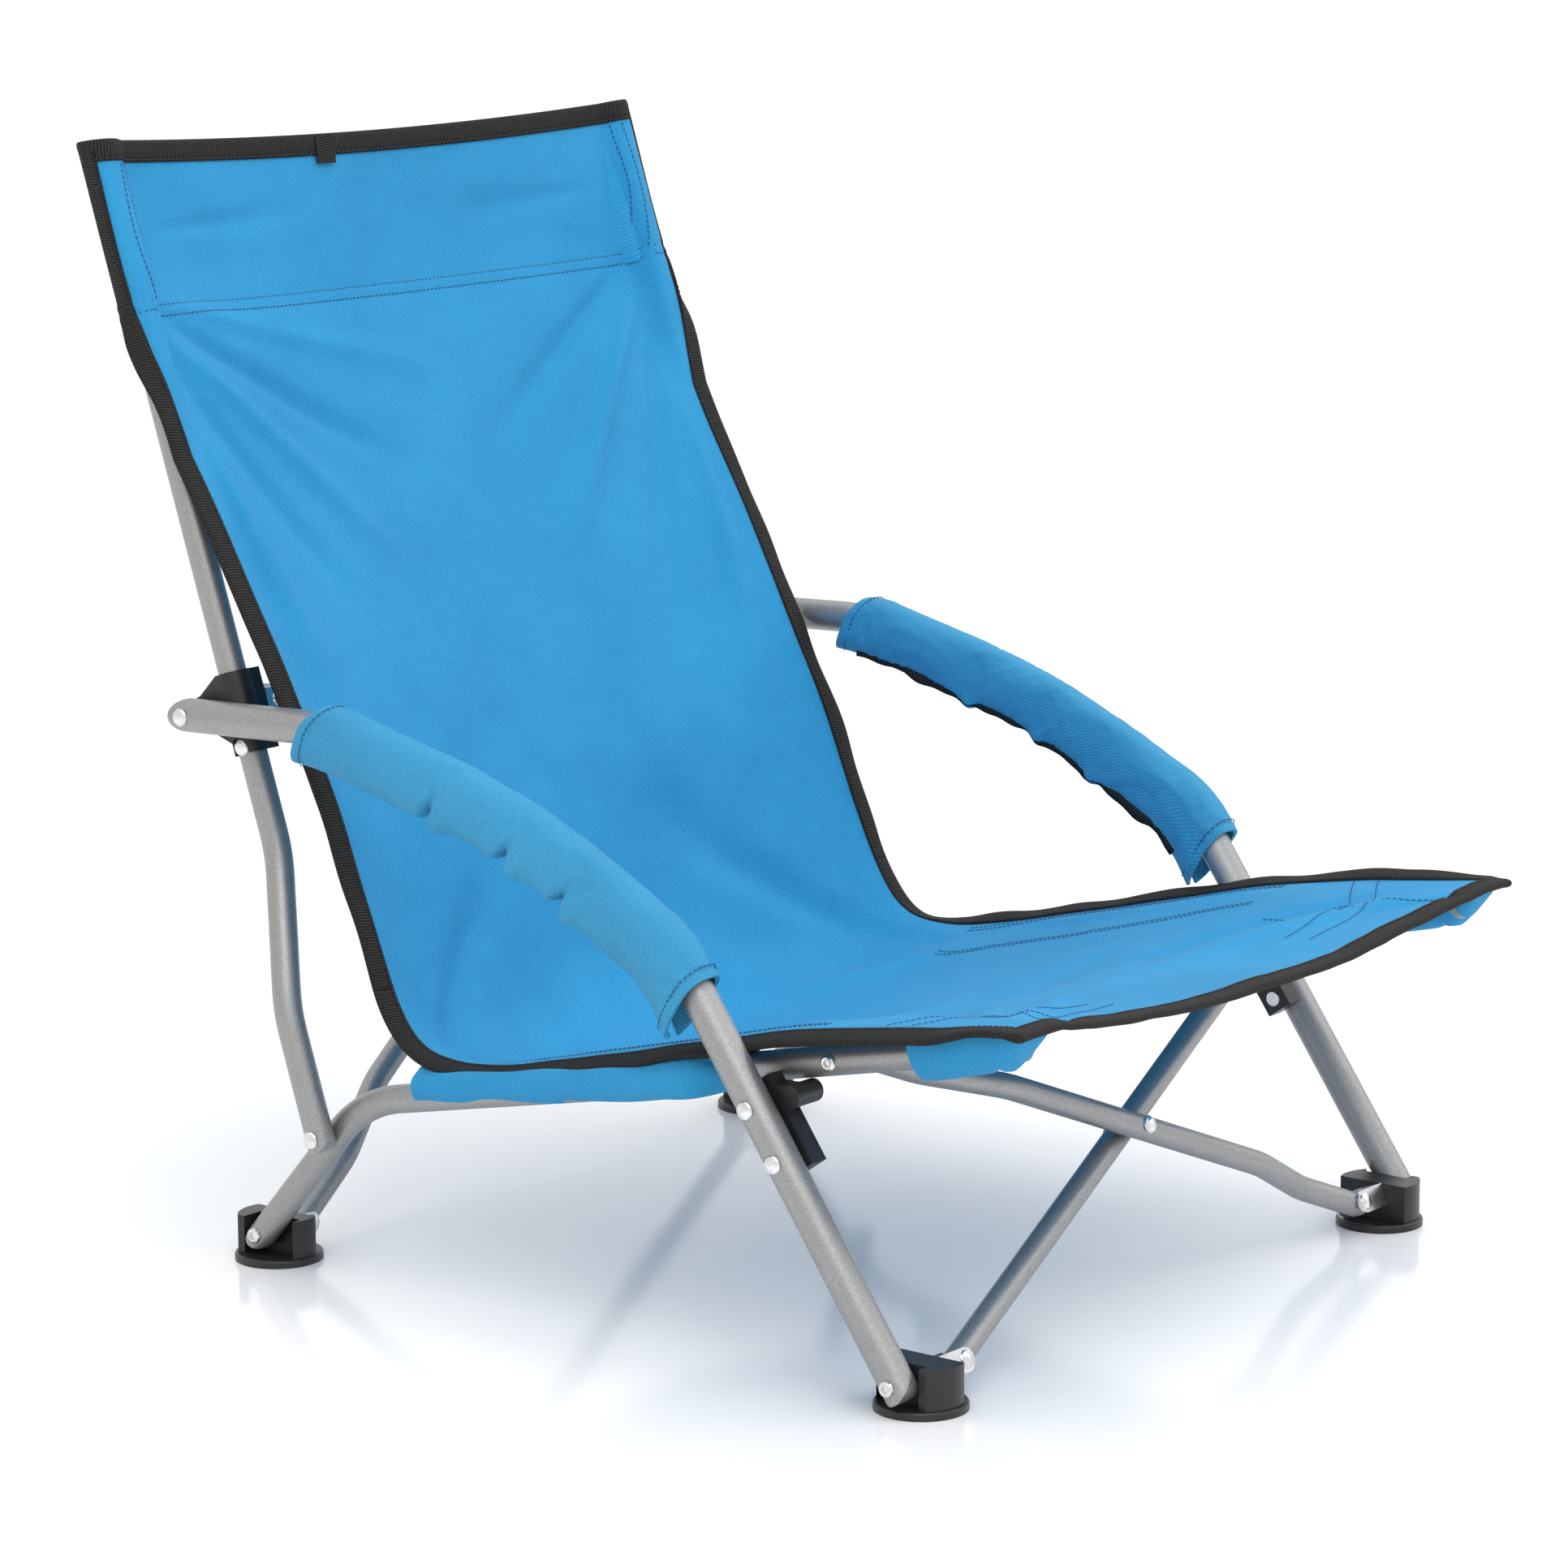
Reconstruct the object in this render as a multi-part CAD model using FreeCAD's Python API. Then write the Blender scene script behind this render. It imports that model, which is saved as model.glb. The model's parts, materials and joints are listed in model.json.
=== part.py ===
import FreeCAD, Part
import math
import os

# Folding camp chair, low sling type, in millimetres.
# Frame: +Z up, the front faces -Y and the occupant's right side is -X. Points of one side are written
# (y, z), with y counted from midway between the front and rear feet, and placed at a distance X from
# the middle plane, so both sides come from the same numbers. The origin of the finished part is the
# middle of its box, on the ground.

Vec = FreeCAD.Vector
SIDES = {"right": -1, "left": 1}

# tubes
ARM_R = 9.5
FRAME_R = 8.0
CROSS_R = 7.0
TUBE_WALL = 1.2
CRIMP = 16.0

# distance of each tube's axis from the middle plane
ARM_X = 242.0
UPRIGHT_X = 222.0
UPRIGHT_LOW_X = 246.3
RAIL_X = 230.0
RAIL_FRONT_X = 212.0
FRONT_CROSS_X = 193.5
REAR_CROSS_X = 200.0
FRONT_FOOT_X = 222.0
REAR_FOOT_X = 218.0

# pivots of one side, (y, z)
FRONT_PIVOT = (-228.0, 17.0)
REAR_PIVOT = (227.0, 17.0)
COLLAR_PIVOT = (262.0, 311.0)
UPRIGHT_PIVOT = (167.0, 85.0)

# bends of the arm-and-leg tube, from the front foot to the rear end
LEG_BEND = (-84.0, 224.0)
ARM_BEND = (25.0, 279.0)
ARM_REAR_BEND = (160.0, 314.0)
ARM_END = (271.5, 310.7)
ARM_BEND_RADII = (70.0, 400.0, 120.0)

# bends of the seat rail, from the rear foot to the front corner
RAIL_BEND = (148.8, 105.3)
RAIL_JOGGLE = (-81.0, 151.8)
RAIL_JOGGLE_END = (-106.5, 159.3)
RAIL_TIP = (-285.0, 197.0)
RAIL_BEND_RADIUS = 80.0
JOGGLE_RADIUS = 24.0

# back upright
UPRIGHT_TOP = (341.0, 612.0)
UPRIGHT_JOGGLE = (72.0, 158.0)
CROSS_ON_UPRIGHT_Z = 318.0
CROSS_ON_RAIL_Y = -167.0
STOP_RIVET_Z = 294.0

# rivets
SHAFT_R = 2.5
HOLE_R = 2.55
HEAD_R = 5.0
HEAD_H = 2.1
FLAT_H = 1.0

# zinc brackets
PLATE = 1.5
FLANGE_GAP = 7.25
FLANGE_R = 6.5
GAP = 0.1

# feet
REST_IN = 220.4
FLANGE_DISC_R = 25.0
FLANGE_DISC_H = 4.5
BLOCK_R = 23.0
BLOCK_TOP = 26.0

# soft goods
FABRIC = 1.4
SLEEVE_IN = 8.3
SLEEVE_OUT = 9.5
PAD_OUT = 17.5
PAD_IN = 9.9
PAD_FLAT = 12.0
SLING_X = 231.0
POCKET_CAP = 2.0


def at(side, x, point):
    """Place a side-view point (y, z) at the distance x from the middle plane."""
    return Vec(SIDES[side] * x, point[0], point[1])


def along(point, direction, distance):
    """A side-view point moved along a side-view direction."""
    return (point[0] + direction[0] * distance, point[1] + direction[1] * distance)


def heading(start, end):
    """Unit side-view direction from start to end."""
    length = math.dist(start, end)
    return ((end[0] - start[0]) / length, (end[1] - start[1]) / length)


LEG = heading(FRONT_PIVOT, LEG_BEND)
REAR_LEG = heading(REAR_PIVOT, RAIL_BEND)
UP = heading(UPRIGHT_PIVOT, UPRIGHT_TOP)
BEHIND = (UP[1], -UP[0])
RAIL_FRONT = heading(RAIL_JOGGLE_END, RAIL_TIP)
RAIL_CROSS = along(
    RAIL_JOGGLE_END,
    RAIL_FRONT,
    (CROSS_ON_RAIL_Y - RAIL_JOGGLE_END[0]) / RAIL_FRONT[0],
)


def on_upright(z):
    """The side-view point of the upright's axis at a height."""
    return along(UPRIGHT_PIVOT, UP, (z - UPRIGHT_PIVOT[1]) / UP[1])


UPRIGHT_CROSS = on_upright(CROSS_ON_UPRIGHT_Z)
STOP = on_upright(STOP_RIVET_Z)
FRONT_PLANE = heading(FRONT_PIVOT, RAIL_CROSS)
REAR_PLANE = heading(REAR_PIVOT, UPRIGHT_CROSS)


def rounded_path(points, radii):
    """A wire of straight runs joined by tangent arcs, one radius for each inner point."""
    edges = []
    start = points[0]
    for before, corner, after, radius in zip(points, points[1:], points[2:], radii):
        back = (before - corner).normalize()
        ahead = (after - corner).normalize()
        half_turn = (math.pi - back.getAngle(ahead)) / 2
        reach = radius * math.tan(half_turn)
        enter = corner + back * reach
        leave = corner + ahead * reach
        middle = corner + (back + ahead).normalize() * (radius / math.cos(half_turn) - radius)
        edges.append(Part.LineSegment(start, enter).toShape())
        edges.append(Part.Arc(enter, middle, leave).toShape())
        start = leave
    edges.append(Part.LineSegment(start, points[-1]).toShape())
    return Part.Wire(edges)


def disc(centre, normal, radius):
    """A round face."""
    return Part.Face(Part.Wire(Part.makeCircle(radius, centre, normal)))


def rod(start, end, radius):
    """A solid cylinder between two points."""
    return Part.makeCylinder(radius, start.distanceToPoint(end), start, end - start)


def swept(points, radii, outer, inner):
    """A round tube along a rounded path; inner is the bore's radius."""
    path = rounded_path(points, radii)
    direction = points[1] - points[0]
    ring = disc(points[0], direction, outer).cut(disc(points[0], direction, inner))
    return path.makePipe(ring.Faces[0])


def frame_tube(points, radii, outer):
    """A hollow tube whose last stretch at each end is crimped shut."""
    tube = swept(points, radii, outer, outer - TUBE_WALL)
    for end, inward in ((points[0], points[1]), (points[-1], points[-2])):
        plug_end = end + (inward - end).normalize() * CRIMP
        tube = tube.fuse(rod(end, plug_end, outer - TUBE_WALL / 2))
    return tube.removeSplitter()


def round_end(shape, pivot, axis, outward, radius):
    """Round a tube's end about a pivot, so that it can turn there."""
    reach = 3 * radius
    half = Vec(axis).normalize() * reach
    width = Vec(outward).cross(axis).normalize() * reach
    corners = [pivot - width - half, pivot + width - half, pivot + width + half, pivot - width + half]
    square = Part.makePolygon(corners + corners[:1])
    beyond = Part.Face(square).extrude(Vec(outward).normalize() * reach)
    keep = rod(pivot - half, pivot + half, radius + 0.05)
    return shape.cut(beyond.cut(keep))


def drill(shape, point, axis, depth=60.0):
    """A rivet hole through everything near a point."""
    step = Vec(axis).normalize() * depth
    return shape.cut(rod(point - step, point + step, HOLE_R))


def turned(profile, origin, direction):
    """A solid of revolution; the profile is (radius, distance along direction), closed by its axis."""
    wire = Part.makePolygon([Vec(r, 0, h) for r, h in profile + profile[:1]])
    solid = Part.Face(wire).revolve(Vec(0, 0, 0), Vec(0, 0, 1), 360)
    solid.Placement = FreeCAD.Placement(origin, FreeCAD.Rotation(Vec(0, 0, 1), direction))
    return solid


def rivet(under_head, under_tail, head="dome", tail="flat"):
    """One rivet; each end is a dome, a rolled ring, a flat disc, or the bare shaft for "none"."""
    direction = (under_tail - under_head).normalize()
    inside_shaft = [(SHAFT_R, 0), (SHAFT_R, -FLAT_H), (0, -FLAT_H)]
    profiles = {
        "dome": [(0, HEAD_H), (2.4, HEAD_H * 0.82), (HEAD_R - 0.6, 0.9), (HEAD_R, 0)],
        "ring": [(0, 0.5), (1.7, 0.5), (2.1, 1.7), (3.2, 1.9), (4.1, 1.2), (4.4, 0)],
        "flat": [(0, FLAT_H), (4.2, FLAT_H), (4.5, 0)],
    }
    body = rod(under_head, under_tail, SHAFT_R)
    for kind, place, outward in ((head, under_head, direction * -1), (tail, under_tail, direction)):
        if kind in profiles:
            body = body.fuse(turned(profiles[kind] + inside_shaft, place, outward))
    return body.removeSplitter()


def plate(outline, side, x_near, x_far):
    """A flat plate from a closed side-view outline, between two distances from the middle plane."""
    wire = Part.makePolygon([at(side, x_near, point) for point in outline + outline[:1]])
    return Part.Face(wire).extrude(Vec(SIDES[side] * (x_far - x_near), 0, 0))


def cross_pin(side, x_near, x_far, point, radius):
    """A cylinder along X between two distances from the middle plane."""
    return rod(at(side, x_near, point), at(side, x_far, point), radius)


# ---- one side's frame ----------------------------------------------------------------------------


def arm_leg_tube(side):
    """The arm and front leg, one bent tube."""
    bottom = along(FRONT_PIVOT, LEG, -ARM_R)
    route = [bottom, LEG_BEND, ARM_BEND, ARM_REAR_BEND, ARM_END]
    points = [at(side, ARM_X, point) for point in route]
    tube = frame_tube(points, ARM_BEND_RADII, ARM_R)
    tube = round_end(tube, at(side, ARM_X, FRONT_PIVOT), Vec(1, 0, 0), Vec(0, -LEG[0], -LEG[1]), ARM_R)
    tube = round_end(tube, at(side, ARM_X, COLLAR_PIVOT), Vec(1, 0, 0), Vec(0, 1, 0), ARM_R)
    for point in (FRONT_PIVOT, COLLAR_PIVOT, *rail_rest_rivet_points()):
        tube = drill(tube, at(side, ARM_X, point), Vec(1, 0, 0))
    return tube


def rail_rest_rivet_points():
    """Where the two rivets of the rail rest pass through the leg."""
    return [along(FRONT_PIVOT, LEG, distance) for distance in (128.5, 160.0)]


def rail_rest(side):
    """Plastic block on the leg's inner side, with a round boss that the rail lies on."""
    low, high, half = 121.0, 173.0, 8.5
    across = (LEG[1], -LEG[0])
    corners = [(low, -half), (low, half), (high, half), (high, -half)]
    outline = [along(along(FRONT_PIVOT, LEG, d), across, w) for d, w in corners]
    outer = ARM_X - ARM_R - GAP
    boss_r = 6.2
    top_of_boss = along(RAIL_JOGGLE_END, RAIL_FRONT, 42.4)
    boss = along(top_of_boss, (RAIL_FRONT[1], -RAIL_FRONT[0]), -(FRAME_R + boss_r + 0.2))
    neck = [
        along(boss, RAIL_FRONT, 0),
        along(boss, (0, -1), boss_r - 0.6),
        along(along(FRONT_PIVOT, LEG, 150.0), across, 0),
        along(along(FRONT_PIVOT, LEG, high), across, 0),
        along(boss, (0, 1), boss_r - 0.6),
    ]
    rest = plate(outline, side, REST_IN, outer)
    rest = rest.fuse(plate(neck, side, REST_IN, outer))
    rest = rest.fuse(cross_pin(side, RAIL_FRONT_X - 0.5, outer, boss, boss_r))
    for point in rail_rest_rivet_points():
        rest = drill(rest, at(side, ARM_X, point), Vec(1, 0, 0))
    return rest.removeSplitter()


def arm_rivets(side):
    """The rail rest's two rivets and the one to the collar, which all ride on the arm tube."""
    outer = ARM_X + ARM_R + GAP
    inner = REST_IN - GAP
    shapes = [
        rivet(at(side, outer, point), at(side, inner, point), "dome", "flat")
        for point in rail_rest_rivet_points()
    ]
    wing_inner = COLLAR_WING_IN - GAP
    shapes.append(rivet(at(side, outer, COLLAR_PIVOT), at(side, wing_inner, COLLAR_PIVOT)))
    return Part.makeCompound(shapes)


def arm_pad(side):
    """Padded sleeve round the arm, pressed flat on the inner side, where the seat rail passes it."""
    rear = (178.0, 313.5)
    front = along(LEG_BEND, LEG, -25.0)
    route = [rear, ARM_REAR_BEND, ARM_BEND, LEG_BEND, front]
    points = [at(side, ARM_X, point) for point in route]
    pad = swept(points, ARM_BEND_RADII[::-1], PAD_OUT, PAD_IN)
    inner_side = [(-200.0, 150.0), (250.0, 150.0), (250.0, 400.0), (-200.0, 400.0)]
    return pad.cut(plate(inner_side, side, ARM_X - 2 * PAD_OUT, ARM_X - PAD_FLAT))


def back_upright(side):
    """The back upright, joggled inwards above its lower pivot."""
    start, end = UPRIGHT_JOGGLE
    route = [
        at(side, UPRIGHT_LOW_X, along(UPRIGHT_PIVOT, UP, -FRAME_R)),
        at(side, UPRIGHT_LOW_X, along(UPRIGHT_PIVOT, UP, start)),
        at(side, UPRIGHT_X, along(UPRIGHT_PIVOT, UP, end)),
        at(side, UPRIGHT_X, UPRIGHT_TOP),
    ]
    tube = frame_tube(route, (90.0, 90.0), FRAME_R)
    pivot = at(side, UPRIGHT_LOW_X, UPRIGHT_PIVOT)
    tube = round_end(tube, pivot, Vec(1, 0, 0), Vec(0, -UP[0], -UP[1]), FRAME_R)
    tube = drill(tube, pivot, Vec(1, 0, 0))
    return drill(tube, at(side, UPRIGHT_X, STOP), Vec(1, 0, 0))


def upright_rivets(side):
    """The pivot rivet at the upright's foot and the stop rivet under the collar."""
    pivot = rivet(
        at(side, UPRIGHT_LOW_X + FRAME_R + GAP, UPRIGHT_PIVOT),
        at(side, RAIL_X - FRAME_R - GAP, UPRIGHT_PIVOT),
    )
    stop = rivet(at(side, UPRIGHT_X + FRAME_R, STOP), at(side, UPRIGHT_X - FRAME_R, STOP))
    return Part.makeCompound([pivot, stop])


COLLAR_LOW = 216.0
COLLAR_HIGH = 262.0
COLLAR_R = 10.2
COLLAR_BORE = 8.1
COLLAR_BOSS_IN = 210.0
COLLAR_WING_IN = 226.0
COLLAR_WING_OUT = UPRIGHT_X + COLLAR_R


def collar(side):
    """Plastic collar that slides on the upright; its wing carries the arm and its boss a bracket."""
    low = along(UPRIGHT_PIVOT, UP, COLLAR_LOW)
    high = along(UPRIGHT_PIVOT, UP, COLLAR_HIGH)
    body = rod(at(side, UPRIGHT_X, low), at(side, UPRIGHT_X, high), COLLAR_R)
    boss = [along(end, BEHIND, width) for end, width in ((low, -9), (low, 9), (high, 9), (high, -9))]
    body = body.fuse(plate(boss, side, COLLAR_BOSS_IN, UPRIGHT_X))
    wing = [
        along(low, UP, 4.0),
        along(COLLAR_PIVOT, UP, -9.5),
        along(COLLAR_PIVOT, UP, 9.5),
        along(high, BEHIND, 4.0),
        high,
    ]
    body = body.fuse(plate(wing, side, COLLAR_WING_IN, COLLAR_WING_OUT))
    body = body.fuse(cross_pin(side, COLLAR_WING_IN, COLLAR_WING_OUT, COLLAR_PIVOT, 9.5))
    bore_start = at(side, UPRIGHT_X, along(low, UP, -5.0))
    bore_end = at(side, UPRIGHT_X, along(high, UP, 5.0))
    body = body.cut(rod(bore_start, bore_end, COLLAR_BORE))
    notch_r = HEAD_R + 0.4
    notch = [along(STOP, BEHIND, -notch_r), along(STOP, BEHIND, notch_r)]
    notch += [along(notch[1], UP, -20.0), along(notch[0], UP, -20.0)]
    body = body.cut(plate(notch, side, COLLAR_BOSS_IN - 2, COLLAR_WING_OUT + 2))
    body = body.cut(cross_pin(side, COLLAR_BOSS_IN - 2, COLLAR_WING_OUT + 2, STOP, notch_r))
    body = body.cut(cross_pin(side, COLLAR_WING_IN - 1, COLLAR_WING_OUT + 1, COLLAR_PIVOT, HOLE_R))
    body = body.cut(cross_pin(side, COLLAR_BOSS_IN - 1, UPRIGHT_X - FRAME_R, UPRIGHT_CROSS, HOLE_R))
    return body.removeSplitter()


def seat_rail(side):
    """The rear leg and seat rail, one bent tube, joggled inwards to pass inside the front leg."""
    route = [
        at(side, RAIL_X, along(REAR_PIVOT, REAR_LEG, -FRAME_R)),
        at(side, RAIL_X, RAIL_BEND),
        at(side, RAIL_X, RAIL_JOGGLE),
        at(side, RAIL_FRONT_X, RAIL_JOGGLE_END),
        at(side, RAIL_FRONT_X, RAIL_TIP),
    ]
    tube = frame_tube(route, (RAIL_BEND_RADIUS, JOGGLE_RADIUS, JOGGLE_RADIUS), FRAME_R)
    pivot = at(side, RAIL_X, REAR_PIVOT)
    tube = round_end(tube, pivot, Vec(1, 0, 0), Vec(0, -REAR_LEG[0], -REAR_LEG[1]), FRAME_R)
    for x, point in ((RAIL_X, REAR_PIVOT), (RAIL_X, UPRIGHT_PIVOT), (RAIL_FRONT_X, RAIL_CROSS)):
        tube = drill(tube, at(side, x, point), Vec(1, 0, 0))
    return tube


def rail_rivet(side):
    """The rivet that holds the front cross tube's bracket on the rail."""
    return rivet(
        at(side, RAIL_FRONT_X + FRAME_R + GAP, RAIL_CROSS),
        at(side, RAIL_FRONT_X - FRAME_R + GAP, RAIL_CROSS),
        "ring",
        "none",
    )


def foot(side, x, pivot, block_in, slot_x, slot_front, slot_rear):
    """Plastic foot: a round flange and a block, slotted where the leg stands and turns."""
    centre = Vec(SIDES[side] * x, pivot[0], 0)
    flange = Part.makeCylinder(FLANGE_DISC_R, FLANGE_DISC_H, centre)
    rims = [e for e in flange.Edges if e.Curve.TypeId == "Part::GeomCircle"]
    flange = flange.makeFillet(1.6, [e for e in rims if e.BoundBox.ZMin > 1])
    block = Part.makeCylinder(BLOCK_R, BLOCK_TOP - 2, centre + Vec(0, 0, 2))
    floor, ceiling = 2.0, BLOCK_TOP + 1
    for near, far, front, rear in (
        (block_in - 60, block_in, -40, 40),
        (x + 17.0, x + 60, -40, 40),
        (slot_x, x + 60, slot_front, slot_rear),
    ):
        bottom = FLANGE_DISC_H if near == slot_x else floor
        outline = [(pivot[0] + front, bottom), (pivot[0] + rear, bottom)]
        outline += [(pivot[0] + rear, ceiling), (pivot[0] + front, ceiling)]
        block = block.cut(plate(outline, side, near, far))
    body = flange.fuse(block)
    return drill(body, at(side, x, pivot), Vec(1, 0, 0)).removeSplitter()


FRONT_BLOCK_IN = 214.0
REAR_BLOCK_IN = 211.0
OPEN_FOOT = ("left", "rear_foot")
FRONT_SLOT_X = ARM_X - ARM_R - 0.3
REAR_SLOT_X = RAIL_X - FRAME_R - 0.3


def front_foot(side):
    """The foot under the arm and front leg."""
    return foot(side, FRONT_FOOT_X, FRONT_PIVOT, FRONT_BLOCK_IN, FRONT_SLOT_X, -11.0, 18.0)


def rear_foot(side):
    """The foot under the rear leg."""
    return foot(side, REAR_FOOT_X, REAR_PIVOT, REAR_BLOCK_IN, REAR_SLOT_X, -20.5, 10.5)


def front_foot_rivet(side):
    """The pivot through the front leg, its foot and the front bracket."""
    return rivet(
        at(side, ARM_X + ARM_R + GAP, FRONT_PIVOT),
        at(side, FRONT_BLOCK_IN - 2 * GAP - PLATE, FRONT_PIVOT),
        "ring",
    )


def rear_foot_rivet(side):
    """The pivot through the rear leg and its foot; it stops inside the foot with the open bracket."""
    start = at(side, RAIL_X + FRAME_R + GAP, REAR_PIVOT)
    if side == OPEN_FOOT[0]:
        return rivet(start, at(side, REAR_BLOCK_IN + GAP, REAR_PIVOT), "ring", "none")
    return rivet(start, at(side, REAR_BLOCK_IN - 2 * GAP - PLATE, REAR_PIVOT), "ring")


# ---- cross tubes and their brackets --------------------------------------------------------------


def plane_normal(plane, forward):
    """The normal of a cross-tube plane that rises along the side-view direction plane."""
    normal = Vec(0, -plane[1], plane[0])
    return normal if forward else normal * -1


def bracket(side, point, base_x, pivot_x, plane):
    """Zinc U bracket: a base against the frame and two flanges that hold a cross tube's end."""
    out = Vec(SIDES[side], 0, 0)
    up = Vec(0, plane[0], plane[1])
    normal = plane_normal(plane, True)
    base_centre = at(side, base_x - GAP, point)
    half = FLANGE_GAP + PLATE
    corner = base_centre - out * PLATE - up * FLANGE_R - normal * half
    outline = [corner, corner + up * 2 * FLANGE_R, corner + up * 2 * FLANGE_R + normal * 2 * half]
    outline += [corner + normal * 2 * half, corner]
    body = Part.Face(Part.makePolygon(outline)).extrude(out * PLATE)
    pivot = at(side, pivot_x, point)
    for offset in (-half, FLANGE_GAP):
        face = pivot + normal * offset
        edge = base_centre + normal * offset
        outline = [face - up * FLANGE_R, edge - up * FLANGE_R, edge + up * FLANGE_R, face + up * FLANGE_R]
        flange = Part.Face(Part.makePolygon(outline + outline[:1])).extrude(normal * PLATE)
        body = body.fuse(flange).fuse(rod(face, face + normal * PLATE, FLANGE_R))
    body = drill(body, base_centre, out, 3.0)
    return drill(body, pivot, normal, 15.0).removeSplitter()


def bracket_rivets(side, point, base_x, pivot_x, plane, with_base):
    """The rivet through a tube's end and, with_base, the short one set in the bracket's own base."""
    normal = plane_normal(plane, True)
    pivot = at(side, pivot_x, point)
    reach = FLANGE_GAP + PLATE + GAP / 2
    shapes = [rivet(pivot + normal * reach, pivot - normal * reach, "dome", "dome")]
    if with_base:
        shapes.append(rivet(at(side, base_x - GAP, point), at(side, base_x - GAP - PLATE, point), "none"))
    return Part.makeCompound(shapes)


def cross_tube(side, low, high, x, plane, crank):
    """A cross tube from one side's low pivot to the other side's high one; crank is its sideways step."""
    start = at(side, x, low)
    end = at("left" if side == "right" else "right", x, high)
    axis = (end - start).normalize()
    normal = plane_normal(plane, crank >= 0)
    length = start.distanceToPoint(end)
    points = [start - axis * CROSS_R]
    if crank:
        step = normal * abs(crank)
        for distance, lift in ((50.0, 0), (105.0, 1), (length - 100.0, 1), (length - 45.0, 0)):
            points.append(start + axis * distance + step * lift)
    points.append(end + axis * CROSS_R)
    tube = frame_tube(points, [60.0] * (len(points) - 2), CROSS_R)
    tube = round_end(tube, start, normal, axis * -1, CROSS_R)
    tube = round_end(tube, end, normal, axis, CROSS_R)
    for point in (start, end, (start + end) * 0.5 + normal * abs(crank)):
        tube = drill(tube, point, normal, 20.0)
    return tube


CRANK = 2 * CROSS_R + 0.6


def centre_rivet(low, high, plane, forward):
    """The rivet where two cross tubes pass."""
    normal = plane_normal(plane, forward)
    middle = Vec(0, (low[0] + high[0]) / 2, (low[1] + high[1]) / 2)
    return rivet(middle + normal * (CRANK + CROSS_R + GAP), middle - normal * (CROSS_R + GAP))


# ---- soft goods ----------------------------------------------------------------------------------

BACK_PROFILE = [
    (329.5, 617.0), (299.0, 528.0), (245.0, 418.0), (172.0, 260.0), (131.0, 165.0), (111.0, 141.0),
]
SEAT_PROFILE = [(104.0, 138.0), (58.0, 139.0), (-75.0, 169.0), (-180.0, 192.0), (-300.0, 210.0)]


def band(profile, below):
    """A sheet as wide as the sling from a smooth side-view curve; below is the way to its other face."""
    front = [Vec(-SLING_X, y, z) for y, z in profile]
    back = [point + Vec(0, *below) * FABRIC for point in front]
    curves = []
    for points in (front, back):
        spline = Part.BSplineCurve()
        spline.interpolate(points)
        curves.append(spline.toShape())
    edges = [curves[0], Part.makeLine(front[-1], back[-1]), curves[1], Part.makeLine(back[0], front[0])]
    face = Part.Face(Part.Wire(Part.__sortEdges__(edges)))
    return face.extrude(Vec(2 * SLING_X, 0, 0))


def sleeve(side, x, opening, direction, length, room):
    """A round cloth sleeve from its opening along a tube; room is how far its hollow reaches."""
    outside = rod(at(side, x, opening), at(side, x, along(opening, direction, length)), SLEEVE_OUT)
    start = at(side, x, along(opening, direction, -5.0))
    return outside.cut(rod(start, at(side, x, along(opening, direction, room)), SLEEVE_IN))


def seat_sleeve(side):
    """The sling's sleeve round the rail and its closed pocket over the rail's front end."""
    rail = heading(RAIL_BEND, RAIL_JOGGLE)
    rear = along(RAIL_BEND, rail, 45.0)
    length = math.dist(rear, RAIL_JOGGLE) - 12.0
    pocket_length = 62.0
    opening = along(RAIL_TIP, RAIL_FRONT, -pocket_length)
    return Part.makeCompound([
        sleeve(side, RAIL_X, rear, rail, length, length + 5.0),
        sleeve(side, RAIL_FRONT_X, opening, RAIL_FRONT, pocket_length + POCKET_CAP, pocket_length + 0.5),
    ])


def top_pocket(side):
    """The sling's closed pocket over the upright's top."""
    length = 88.0
    opening = along(UPRIGHT_TOP, UP, -length)
    return sleeve(side, UPRIGHT_X, opening, UP, length + POCKET_CAP, length + 0.5)


def label_tab():
    """Plain folded tab sewn to the top edge."""
    top = (328.9, 616.6)
    lean = heading(BACK_PROFILE[1], BACK_PROFILE[0])
    outline = [top, along(top, lean, -13.0)]
    outline += [along(point, (-lean[1], lean[0]), 0.8) for point in outline[::-1]]
    return plate(outline, "right", 32.0, 48.0)


# ---- all nodes -----------------------------------------------------------------------------------


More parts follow.
